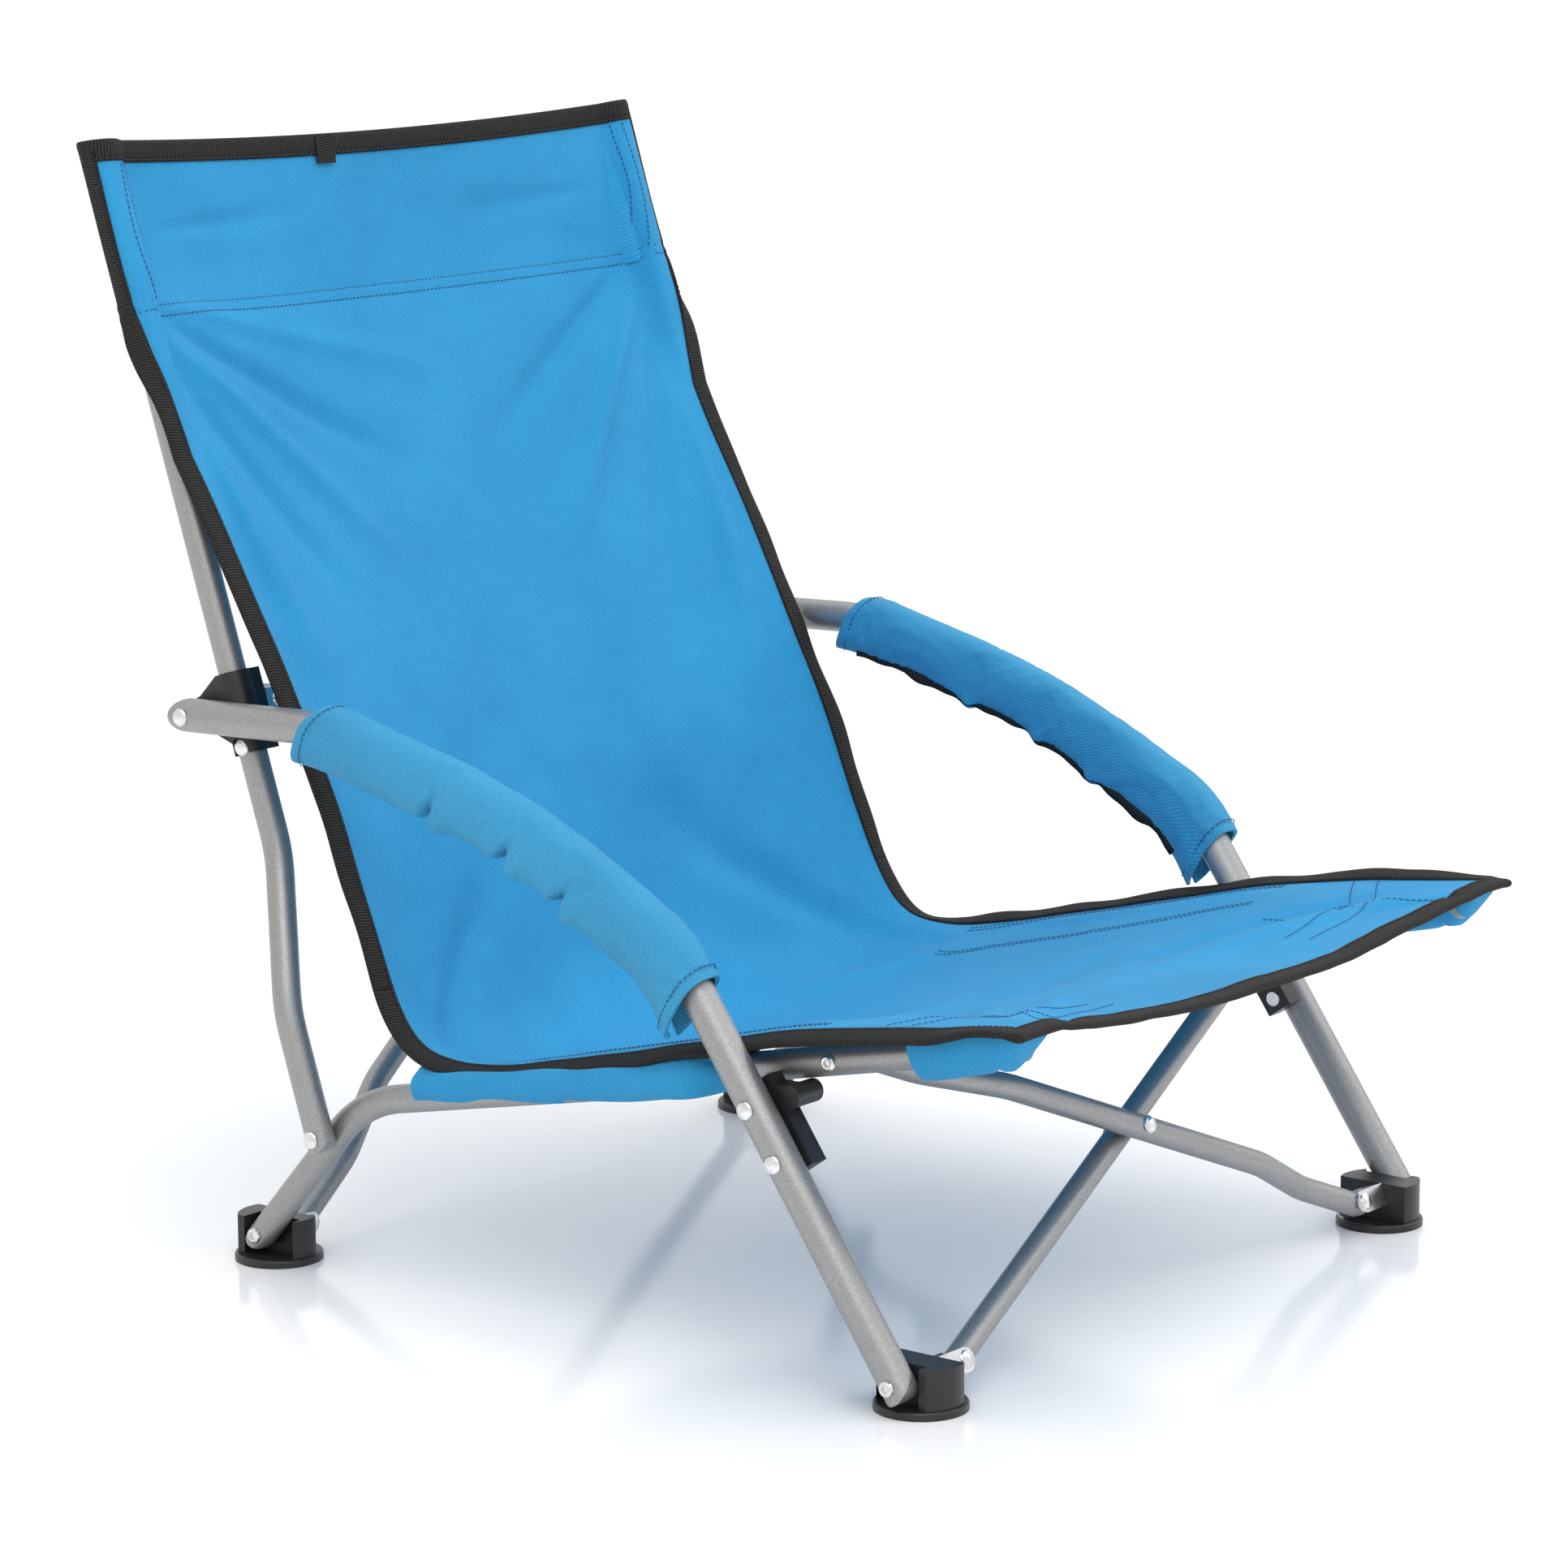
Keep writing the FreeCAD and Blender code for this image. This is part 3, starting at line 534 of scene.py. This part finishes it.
def painted_tube():
    """Silver metallic paint: fine flake, slight orange peel and rubbed patches."""
    surface = Surface("silver_paint", 0.42, 0.80, Coat_Weight=0.12, Coat_Roughness=0.25)
    place = surface.place()
    flake = surface.noise(place, 2600.0, 1.0)
    tone = surface.noise(place, 22.0, 3.0)
    base = surface.ramp(flake, (0.30, (0.185, 0.185, 0.185)), (0.72, (0.49, 0.49, 0.49)))
    surface.colour(surface.mix(surface.math("MULTIPLY", tone, 0.35), base, (0.33, 0.33, 0.335)))
    surface.rough(tone, 0.38, 0.50)
    surface.bump((flake, 0.00005), (surface.noise(place, 420.0, 2.0), 0.00004))
    return surface.material


def zinc():
    """Bright zinc plate with fine scratches."""
    surface = Surface("zinc", 0.25, 1.0)
    place = surface.place()
    stretch = surface.node("Mapping", {"Vector": place, "Scale": (1.0, 9.0, 1.0)}).outputs["Vector"]
    scratch = surface.noise(stretch, 420.0, 4.0)
    tone = surface.noise(place, 130.0, 2.0)
    surface.colour(surface.ramp(tone, (0.3, (0.60, 0.60, 0.61)), (0.75, (0.84, 0.84, 0.85))))
    surface.rough(scratch, 0.14, 0.40)
    surface.bump((scratch, 0.00004), (tone, 0.00006))
    return surface.material


def moulded():
    """Black moulded plastic, semi-gloss, with a fine spark texture and dusty wear."""
    surface = Surface("black_moulding", 0.36, Specular_IOR_Level=0.45)
    place = surface.place()
    grain = surface.noise(place, 1500.0, 2.0)
    dust = surface.noise(place, 38.0, 4.0)
    surface.colour(surface.ramp(dust, (0.35, (0.010, 0.010, 0.011)), (0.80, (0.026, 0.026, 0.027))))
    surface.rough(dust, 0.28, 0.46)
    surface.bump((grain, 0.00005), (surface.noise(place, 160.0, 2.0), 0.00005))
    return surface.material


BLUE = woven("blue_weave", 0.0014, (0.009, 0.222, 0.480), (0.021, 0.285, 0.570), (0.090, 0.520, 0.870))
PAD_BLUE = woven(
    "blue_pad_weave", 0.0016, (0.019, 0.228, 0.445), (0.032, 0.286, 0.525), (0.140, 0.520, 0.790)
)
TAPE = ribbed("black_tape", 0.0016, (0.006, 0.006, 0.006), (0.060, 0.056, 0.052))
DARK_THREAD = thread("dark_thread", (0.003, 0.075, 0.200), (0.008, 0.120, 0.290))
BLACK_THREAD = thread("black_thread", (0.005, 0.005, 0.005), (0.030, 0.030, 0.030))
PAINT = painted_tube()
ZINC = zinc()
MOULDED = moulded()


def dress(obj, material, slot, body, *replaced, gathers=False):
    """Material and body of one piece, with the parts it replaces hidden; a piece that gathers gets its own
    copy of its mesh. The slot is not used.
    """
    obj.data.materials.clear()
    obj.data.materials.append(material)
    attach(obj, body)
    if replaced:
        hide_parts(*replaced)
    if gathers:
        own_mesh(obj)
    return obj


# How far the left side comes in as the chair folds, and what that leaves of each panel's width.
FOLD_SHIFT = 0.364
BACK_GATHER = ((2 * UPRIGHT_X - FOLD_SHIFT) / (2 * UPRIGHT_X), -UPRIGHT_X)
SEAT_X = 0.221
SEAT_GATHER = ((2 * SEAT_X - FOLD_SHIFT) / (2 * SEAT_X), -SEAT_X)
PANELS = {
    "back": (0.0, BEND_AT, "right_upright_body", BACK_GATHER, "sling_back"),
    "seat": (BEND_AT, 1.0, "right_rail_body", SEAT_GATHER, "sling_seat"),
}


def panel(name, start, end, body, gather, node):
    """One stretch of the sling as a sheet with its thickness."""
    rows, columns = ((201, 231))
    share, across = np.meshgrid(np.linspace(start, end, rows), np.linspace(-1, 1, columns), indexing="ij")
    points = sling(across, share)
    uvs = np.stack([across.ravel() * 0.2315, share.ravel() * EDGE_LINE.length], -1)
    faces = turned_over(grid_faces(rows, columns), True)
    obj = make_object(f"sling_{name}_panel", points.reshape(-1, 3), faces, uvs)
    wide = np.linalg.norm(np.diff(points, axis=1), axis=-1).sum(1).mean()
    long = np.linalg.norm(np.diff(points, axis=0), axis=-1).sum(0).mean()
    thicken(obj, CLOTH, 0.0)
    dress(obj, BLUE, "sling_fabric", body, node, gathers=gather)
    return obj, (float(wide), float(long))


def edge_frame(across, share):
    """Line, inward direction and normal along an edge of the sling; one of the two is an array."""
    across, share = np.broadcast_arrays(np.asarray(across, float), np.asarray(share, float))
    centres = sling(across, share)
    if np.ptp(across) < 1e-9:
        inward = sling(across * 0.97, share) - centres
    else:
        step = 0.01 if share.flat[0] < 0.5 else -0.01
        inward = sling(across, share + step) - centres
    inward = inward / np.linalg.norm(inward, axis=-1, keepdims=True)
    along = np.gradient(centres, axis=0)
    normal = np.cross(along, inward)
    normal = normal / np.linalg.norm(normal, axis=-1, keepdims=True)
    return centres, inward, normal


# Section of the folded tape, (inward, outward) from the cloth's edge: the upper half, then mirrored.
TAPE_WIDTH = 0.0112
TAPE_UPPER = [
    (TAPE_WIDTH, 0.0006), (TAPE_WIDTH, 0.0014), (TAPE_WIDTH * 0.6, 0.0018),
    (0.0020, 0.0022), (-0.0006, 0.0018), (-0.0015, 0.0007),
]
TAPE_OUTLINE = TAPE_UPPER + [(inward, -outward) for inward, outward in reversed(TAPE_UPPER)]


def bindings(name, start, end):
    """Black tape folded over the free edges of one panel, with its sewing."""
    tapes, rows = [], []
    lines = [(side, np.linspace(start, end, 150)) for side in (-1.0, 1.0)]
    cross = 0.0 if name == "back" else 1.0
    lines.append((np.linspace(-1, 1, 120), cross))
    for index, (across, share) in enumerate(lines):
        centres, inward, normal = edge_frame(across, share)
        tapes.append(swept_band(f"tape_{index}", centres, inward, normal, TAPE_OUTLINE))
        facing = side_of(across, share)
        sign = np.sign((normal * facing).sum(-1, keepdims=True))
        sewn = centres + inward * (TAPE_WIDTH - 0.0014) + normal * sign * 0.0015
        rows.append(stitches(f"sewing_{index}", sewn, facing))
    return joined(f"{name}_binding", tapes), joined(f"{name}_binding_stitches", rows)


def seam(name, points_uv, lift=CLOTH / 2):
    """A row of stitches on the sitter's side along points given as (across, share)."""
    line = Line(points_uv)
    shares = np.linspace(0, 1, 80)
    across, share = line.at(shares).T
    return stitches(name, sling(across, share) + side_of(across, share) * lift, side_of(across, share))


def share_at(metres):
    """Share of the pattern's length at a distance from the top edge."""
    return metres / EDGE_LINE.length


def seat_share(y):
    """Share of the pattern's length where the seat's edge passes a y."""
    seat = EDGE_LINE.share > BEND_AT
    return float(np.interp(-y, -EDGE_LINE.points[seat, 0], EDGE_LINE.share[seat]))


def back_seams():
    """The headrest's double seam and the double seams beside the upright pockets."""
    rows = []
    for gap in (0.0, SEAM_GAP):
        height = share_at(HEADREST_RUN + gap)
        rows.append(seam(f"headrest_{gap}", [(-0.95, height), (0.0, height), (0.95, height)]))
        for side in (-1, 1):
            across = side * (0.895 - gap / 0.231)
            points = [(across, share_at(0.012)), (across * 1.01, share_at(0.05)), (across * 0.99, height)]
            rows.append(seam(f"pocket_{side}_{gap}", points))
    return joined("back_seams", rows)


def seat_seams():
    """The long loops that close the rail sleeves and the crossing seams of the corner pockets."""
    rows = []
    rear, front = seat_share(0.035), seat_share(-0.190)
    for side in (-1, 1):
        for gap in (0.0, 0.016):
            for name, across in (("outer", 0.925 - gap), ("inner", 0.760 + gap)):
                points = [(side * across, share) for share in (rear, (rear + front) / 2, front)]
                rows.append(seam(f"{name}_{side}_{gap}", points))
            corner = [(0.95, seat_share(-0.232 - gap)), (0.68, seat_share(-0.262 - gap)),
                      (0.40, seat_share(-0.266 - gap))]
            rows.append(seam(f"corner_{side}_{gap}", [(side * a, share) for a, share in corner]))
        crossing = [(0.64, seat_share(-0.215)), (0.70, seat_share(-0.265)), (0.78, seat_share(-0.312))]
        rows.append(seam(f"crossing_{side}", [(side * a, share) for a, share in crossing]))
    return joined("seat_seams", rows)


for panel_name, (first, last, rides_on, gather, cad_node) in PANELS.items():
    sheet, size = panel(panel_name, first, last, rides_on, gather, cad_node)
    tape, sewing = bindings(panel_name, first, last)
    dress(tape, TAPE, "sling_fabric", rides_on, gathers=gather)
    dress(sewing, BLACK_THREAD, "sling_fabric", rides_on, gathers=gather)
    seams = back_seams() if panel_name == "back" else seat_seams()
    dress(seams, DARK_THREAD, "sling_fabric", rides_on, gathers=gather)


# ---- pockets and sleeves --------------------------------------------------------------------------


def upright_pocket(side):
    """The back layer of the pocket over the upright's top, closed over the end."""
    sign = SIDES[side]
    lean = np.array([0.0, math.sin(UPRIGHT_LEAN), math.cos(UPRIGHT_LEAN)])
    rear = np.array([0.0, math.cos(UPRIGHT_LEAN), -math.sin(UPRIGHT_LEAN)])
    top = np.array([sign * UPRIGHT_X, *UPRIGHT_TOP])
    rows = []
    angles = np.radians(np.linspace(22, 200, 20))
    depths = [0.0098, 0.0085, 0.005, 0.0, -0.02, -0.045, -0.07, -0.0865, -0.0885]
    sizes = [0.10, 0.62, 0.93, 1.0, 1.0, 1.01, 1.02, 1.05, 1.05]
    for depth, size in zip(depths, sizes):
        row = []
        for angle in angles:
            swell = 0.0004 * math.sin(7 * angle + 60 * depth)
            radius = (0.0093 + swell) * size
            outward = sign * math.cos(angle) * radius
            back = math.sin(angle) * radius
            row.append(top + np.array([outward, 0, 0]) + rear * back + lean * depth)
        share = share_at(max(0.0005, POCKET_ABOVE - depth))
        across = sign * 0.2045 / read(HALF_WIDTH, share)
        row.append(sling(across, share) - side_of(across, share) * 0.0013)
        rows.append(row)
    verts = np.array(rows).reshape(-1, 3)
    columns = len(rows[0])
    uvs = [(0.0012 * j, depth) for depth in depths for j in range(columns)]
    faces = turned_over(grid_faces(len(rows), columns), sign < 0)
    obj = make_object(f"{side}_upright_pocket", verts, faces, uvs)
    soften(obj)
    thicken(obj, CLOTH, 1.0)
    return dress(face_out(obj), BLUE, "sling_fabric", f"{side}_upright_body", f"{side}_top_pocket")


def rail_sleeve(side):
    """A loop of cloth round the rail, drawn up to the seat's edge above it."""
    sign = SIDES[side]
    xs = (RAIL_X, RAIL_X, RAIL_FRONT_X, RAIL_FRONT_X)
    rail = rounded_run([(sign * x, y, z) for x, (y, z) in zip(xs, RAIL_RUN)], (RAIL_BEND_RADIUS,) * 2)
    count = 60
    stations = np.linspace(0, 1, count)
    centres = rail.at(stations)
    tangents = rail.tangent(stations)
    rows, uvs = [], []
    for station, centre, along in zip(stations, centres, tangents):
        up = np.array([0.0, 0.0, 1.0]) - along * along[2]
        up = up / np.linalg.norm(up)
        out = np.cross(along, up)
        out = out * np.sign(out[0]) * sign
        peak = sling(sign * 0.972, seat_share(centre[1])) - up * 0.0012
        ring = [peak]
        for k in range(31):
            angle = math.radians(58 - 296 * k / 30)
            crease = 0.0004 * math.sin(9 * station * math.pi + 3 * angle)
            spoke = out * math.cos(angle) + up * math.sin(angle)
            ring.append(centre + spoke * (SLEEVE_RADIUS + crease))
        drawn = np.array(ring)
        inner = sling(sign * 0.93, seat_share(centre[1])) - up * 0.0012
        rows.append(np.vstack([drawn, inner]))
        uvs += [(0.0019 * k, station * rail.length) for k in range(len(drawn) + 1)]
    columns = len(rows[0])
    faces = turned_over(grid_faces(count, columns), sign > 0)
    obj = make_object(f"{side}_rail_sleeve", np.array(rows).reshape(-1, 3), faces, uvs)
    thicken(obj, CLOTH, 1.0)
    return dress(face_out(obj), BLUE, "sling_fabric", f"{side}_rail_body", f"{side}_seat_sleeve")


def front_pocket(side):
    """A patch under the sling's front corner; the rail's end lies in it and it closes at the edges."""
    sign = SIDES[side]
    count, columns = 40, 34
    front = EDGE_LINE.at(1.0)[0] + 0.0045
    rows, uvs = [], []
    for t in np.linspace(0, 1, count):
        share = seat_share(POCKET_OPENING + (front - POCKET_OPENING) * t)
        inner_across = 0.835 + 0.03 * t
        outer, inner = sling(sign * 0.968, share), sling(sign * inner_across, share)
        hang = np.interp(t, *POCKET_HANG)
        for k in range(columns):
            angle = math.pi * k / (columns - 1)
            blend = (1 - math.cos(angle)) / 2
            point = outer * (1 - blend) + inner * blend
            pleat = 0.0022 * math.exp(-(((t - 0.72 + 0.10 * blend) / 0.035) ** 2)) * math.sin(angle)
            point = point + np.array([0.0, -0.005 * (1 - t) * math.sin(angle), 0.0])
            point[2] -= (hang - pleat) * math.sin(angle) ** 0.75 + 0.0010
            rows.append(point)
            uvs.append((0.0016 * k, t * 0.08))
    faces = turned_over(grid_faces(count, columns), sign > 0)
    obj = make_object(f"{side}_front_pocket", rows, faces, uvs)
    thicken(obj, CLOTH, 1.0)
    return dress(face_out(obj), BLUE, "sling_fabric", f"{side}_rail_body")


# ---- arm pads -------------------------------------------------------------------------------------


ARM_RUN = rounded_run(ARM_PATH, ARM_RADII)
ARM_LINE = Line(ARM_RUN.at(np.linspace(PAD_START, 1.0, 120)), smooth=False)
PAD_FROM, PAD_TO = math.radians(-78), math.radians(258)
PAD_SKIN = 0.0024

# Tucks in the lower outer edge: where, how wide along the pad, how deep, and the flap that shows below.
TUCKS = (0.315, 0.51, 0.66)
TUCK_WIDTH, TUCK_IN, TUCK_UP = 0.011, 0.0085, 0.0060
TUCK_LEAN = 0.028
FLAP_DROP = 0.0045

# The cloth run that fills the sleeves.
FILL_PRESSURE, FILL_FRAMES, FILL_LIMIT = 3.0, 14, 0.0018


def pad_point(side, share, angle, proud=0.0):
    """A point of the arm pad's skin; angle 0 is outwards and a quarter turn is the top."""
    sign = SIDES[side]
    rise, out = math.sin(angle), math.cos(angle)
    tangent = ARM_LINE.tangent(np.clip(share, 0.06, 0.86), 0.06)
    up = np.array([-tangent[1], tangent[0]]) * math.copysign(1.0, tangent[0])
    tall = PAD_UP if rise > 0 else float(read(PAD_DOWN, share))
    wide = PAD_OUTER if out > 0 else PAD_INNER
    reach_up = math.copysign(abs(rise) ** 0.86, rise) * (tall + proud)
    reach_out = math.copysign(abs(out) ** 0.80, out) * (wide + (proud if out > 0 else 0.0))
    lower_outer = float(ease(angle, math.radians(15), math.radians(-70)))
    lower_inner = float(ease(angle, math.radians(205), math.radians(250)))
    for tuck in TUCKS:
        off = (share - tuck) - TUCK_LEAN * (1 - lower_outer)
        bulge = 0.40 * math.exp(-(((off - 0.036) / 0.020) ** 2))
        pinch = math.exp(-((off / TUCK_WIDTH) ** 2)) - bulge
        reach_out -= lower_outer * pinch * TUCK_IN
        reach_up += lower_outer * pinch * TUCK_UP
        reach_up -= lower_inner * FLAP_DROP * math.exp(-(((share - tuck - 0.016) / 0.022) ** 2))
    slant = PAD_SLANT * (rise if share < 0.5 else 0.3 * rise) * float(ease(abs(share - 0.5), 0.36, 0.5))
    centre = ARM_LINE.at(share) + tangent * slant
    return np.array([sign * (ARM_X + reach_out), *(centre + up * reach_up)])


def inflate(obj, pinned):
    """Fill a skin by a short cloth run; no vertex moves more than FILL_LIMIT."""
    start = np.array([v.co for v in obj.data.vertices])
    group = obj.vertex_groups.new(name="pin")
    group.add(pinned, 1.0, "REPLACE")
    cloth = obj.modifiers.new("cloth", "CLOTH")
    settings = cloth.settings
    settings.use_pressure = True
    settings.uniform_pressure_force = FILL_PRESSURE
    settings.vertex_group_mass = "pin"
    settings.quality = 5
    settings.mass = 0.25
    settings.tension_stiffness = 18
    settings.compression_stiffness = 14
    settings.bending_stiffness = 0.4
    settings.shrink_min = -0.015
    settings.effector_weights.gravity = 0.0
    cloth.point_cache.frame_start = 1
    cloth.point_cache.frame_end = FILL_FRAMES
    for number in range(1, FILL_FRAMES + 1):
        bpy.context.scene.frame_set(number)
    apply_modifiers(obj)
    bpy.context.scene.frame_set(1)
    obj.vertex_groups.clear()
    step = np.array([v.co for v in obj.data.vertices]) - start
    length = np.linalg.norm(step, axis=1, keepdims=True)
    moved = start + step * np.minimum(1.0, FILL_LIMIT / np.maximum(length, 1e-9))
    obj.data.vertices.foreach_set("co", moved.ravel())
    obj.data.update()


def arm_sleeve(side):
    """Padded sleeve: a wrap open along its lower edge and at both ends, tucked along the outer edge."""
    sign = SIDES[side]
    rows, columns = 230, 56
    angles = np.linspace(PAD_FROM, PAD_TO, columns)
    shares = np.linspace(0, 1, rows)
    verts = [pad_point(side, share, angle) for share in shares for angle in angles]
    uvs = [(0.0020 * k, share * ARM_LINE.length) for share in shares for k in range(columns)]
    faces = turned_over(grid_faces(rows, columns), sign < 0)
    obj = make_object(f"{side}_arm_sleeve", verts, faces, uvs)
    pinned = [i * columns + k for i in range(rows) for k in range(columns)
              if i < 2 or i > rows - 3 or k < 2 or k > columns - 3]
    inflate(obj, pinned)
    limit = ARM_X - PAD_INNER - 0.0001
    for vertex in obj.data.vertices:
        if abs(vertex.co.x) < limit:
            vertex.co.x = sign * limit
    soften(obj)
    thicken(obj, PAD_SKIN)
    dress(face_out(obj), PAD_BLUE, "pad_fabric", f"{side}_arm_body", f"{side}_arm_pad")
    return obj


def hem_stitches(side):
    """Sewing round both ends of the arm sleeve."""
    rows = []
    angles = np.linspace(PAD_FROM + 0.15, PAD_TO - 0.15, 60)
    for share in (0.022, 0.980):
        points = [pad_point(side, share, angle, 0.0008) for angle in angles]
        middle = np.array([SIDES[side] * ARM_X, *ARM_LINE.at(share)])
        normals = [(point - middle) / np.linalg.norm(point - middle) for point in points]
        rows.append(stitches(f"hem_{share}", points, normals))
    obj = joined(f"{side}_arm_hem_stitches", rows)
    return dress(obj, DARK_THREAD, "pad_fabric", f"{side}_arm_body")


def closure_strip(side):
    """The black hook tape that closes the arm sleeve, seen beneath its inner lower edge."""
    sign = SIDES[side]
    shares = np.linspace(0.05, 0.93, 90)
    angle = math.radians(246)
    centres = np.array([pad_point(side, share, angle) for share in shares])
    down = np.array([ARM_LINE.tangent(share, 0.02) for share in shares])
    down = np.stack([np.zeros(len(down)), down[:, 1], -down[:, 0]], -1)
    down = down * -np.sign(down[:, 2:3])
    wave = 0.0012 * np.sin(shares * 34) + 0.0008 * np.sin(shares * 71)
    centres = centres + down * (wave - 0.0028)[:, None]
    sideways = np.tile([sign, 0.0, 0.0], (len(shares), 1))
    half = [(-0.0009, -0.004), (0.0009, -0.004), (0.0014, 0.0)]
    outline = half + [(-thick, -tall) for thick, tall in half]
    obj = swept_band(f"{side}_closure_strip", centres, sideways, down, outline)
    return dress(obj, TAPE, "pad_fabric", f"{side}_arm_body")


for side in SIDES:
    upright_pocket(side)
    rail_sleeve(side)
    front_pocket(side)
    arm_sleeve(side)
    hem_stitches(side)
    closure_strip(side)


# ---- label tab --------------------------------------------------------------------------------------


def tab():
    """Folded tape sewn into the top binding."""
    columns = np.linspace(-0.20, -0.137, 9)
    rows = np.linspace(share_at(-0.0), share_at(0.0165), 8)
    share, across = np.meshgrid(rows, columns, indexing="ij")
    points = sling(across, share) + side_of(across, share) * 0.0024
    uvs = np.stack([across.ravel() * 0.231, share.ravel()], -1)
    obj = make_object("top_tab", points.reshape(-1, 3), grid_faces(len(rows), len(columns)), uvs)
    return thicken(obj, 0.0007, 0.0)


dress(tab(), TAPE, "label", "right_upright_body", "label_tab", gathers=BACK_GATHER)


# ---- carried-over frame nodes -------------------------------------------------------------------------

FINISHES = {"tube_paint": PAINT, "zinc": ZINC, "black_plastic": MOULDED}
for part in frame["record"]["subparts"]:
    node = frame["nodes"][part["node"]]
    finish = FINISHES.get(part["material_slot"])
    if finish and not node.hide_render:
        node.data.materials.clear()
        node.data.materials.append(finish)

# ---- floor, light and camera ------------------------------------------------------------------------


def stage():
    """Plain pale floor and soft studio light."""
    surface = Surface("studio_floor", 0.12, Specular_IOR_Level=0.5)
    tone = surface.noise(surface.place(), 0.6, 1.0)
    surface.colour(surface.ramp(tone, (0.2, (0.945, 0.945, 0.95)), (0.8, (0.955, 0.955, 0.96))))
    surface.rough(tone, 0.10, 0.14)
    reach = 60.0
    corners = [(-reach, -reach, 0), (reach, -reach, 0), (reach, reach, 0), (-reach, reach, 0)]
    floor = make_object("floor", corners, [(0, 1, 2, 3)])
    floor.data.materials.append(surface.material)


def soft_light(name, location, target, size, power):
    """A rectangular area light turned towards a point."""
    data = bpy.data.lights.new(name, "AREA")
    data.shape = "RECTANGLE"
    data.size, data.size_y = size
    data.energy = power
    light = bpy.data.objects.new(name, data)
    bpy.context.scene.collection.objects.link(light)
    light.location = location
    light.rotation_euler = (Vector(target) - Vector(location)).to_track_quat("-Z", "Y").to_euler()


def camera():
    """The view from the front and the sitter's right, a little above the arms."""
    azimuth, elevation, roll = math.radians(-51.896), math.radians(10.781), math.radians(0.19)
    back = Vector((math.sin(azimuth) * math.cos(elevation), -math.cos(azimuth) * math.cos(elevation),
                   math.sin(elevation)))
    right = Vector((math.cos(azimuth), math.sin(azimuth), 0.0))
    up = back.cross(right)
    turn = Matrix((right, up, back)).transposed() @ Matrix.Rotation(-roll, 3, "Z")
    data = bpy.data.cameras.new("camera")
    data.sensor_width = 36.0
    data.lens = 120.6
    view = bpy.data.objects.new("camera", data)
    bpy.context.scene.collection.objects.link(view)
    view.matrix_world = Matrix.Translation((-2.2995, -1.7946, 0.8180)) @ turn.to_4x4()
    bpy.context.scene.camera = view


def broad_light():
    """An even glow from above, like a large panel."""
    data = bpy.data.lights.new("sky_panel", "SUN")
    data.energy = 0.9
    data.angle = math.radians(70)
    light = bpy.data.objects.new("sky_panel", data)
    light.rotation_euler = (math.radians(14), math.radians(10), 0)
    bpy.context.scene.collection.objects.link(light)


stage()
broad_light()
soft_light("key", (-1.7, -1.3, 2.4), (0, 0, 0.3), (1.8, 1.8), 22)
soft_light("fill", (2.4, -1.6, 1.8), (0, 0, 0.3), (2.4, 2.0), 10)
world = bpy.data.worlds.new("studio")
world.use_nodes = True
world.node_tree.nodes["Background"].inputs["Color"].default_value = (1.0, 1.0, 1.0, 1.0)
world.node_tree.nodes["Background"].inputs["Strength"].default_value = 1.0
bpy.context.scene.world = world
bpy.context.scene.view_settings.view_transform = "Standard"
camera()
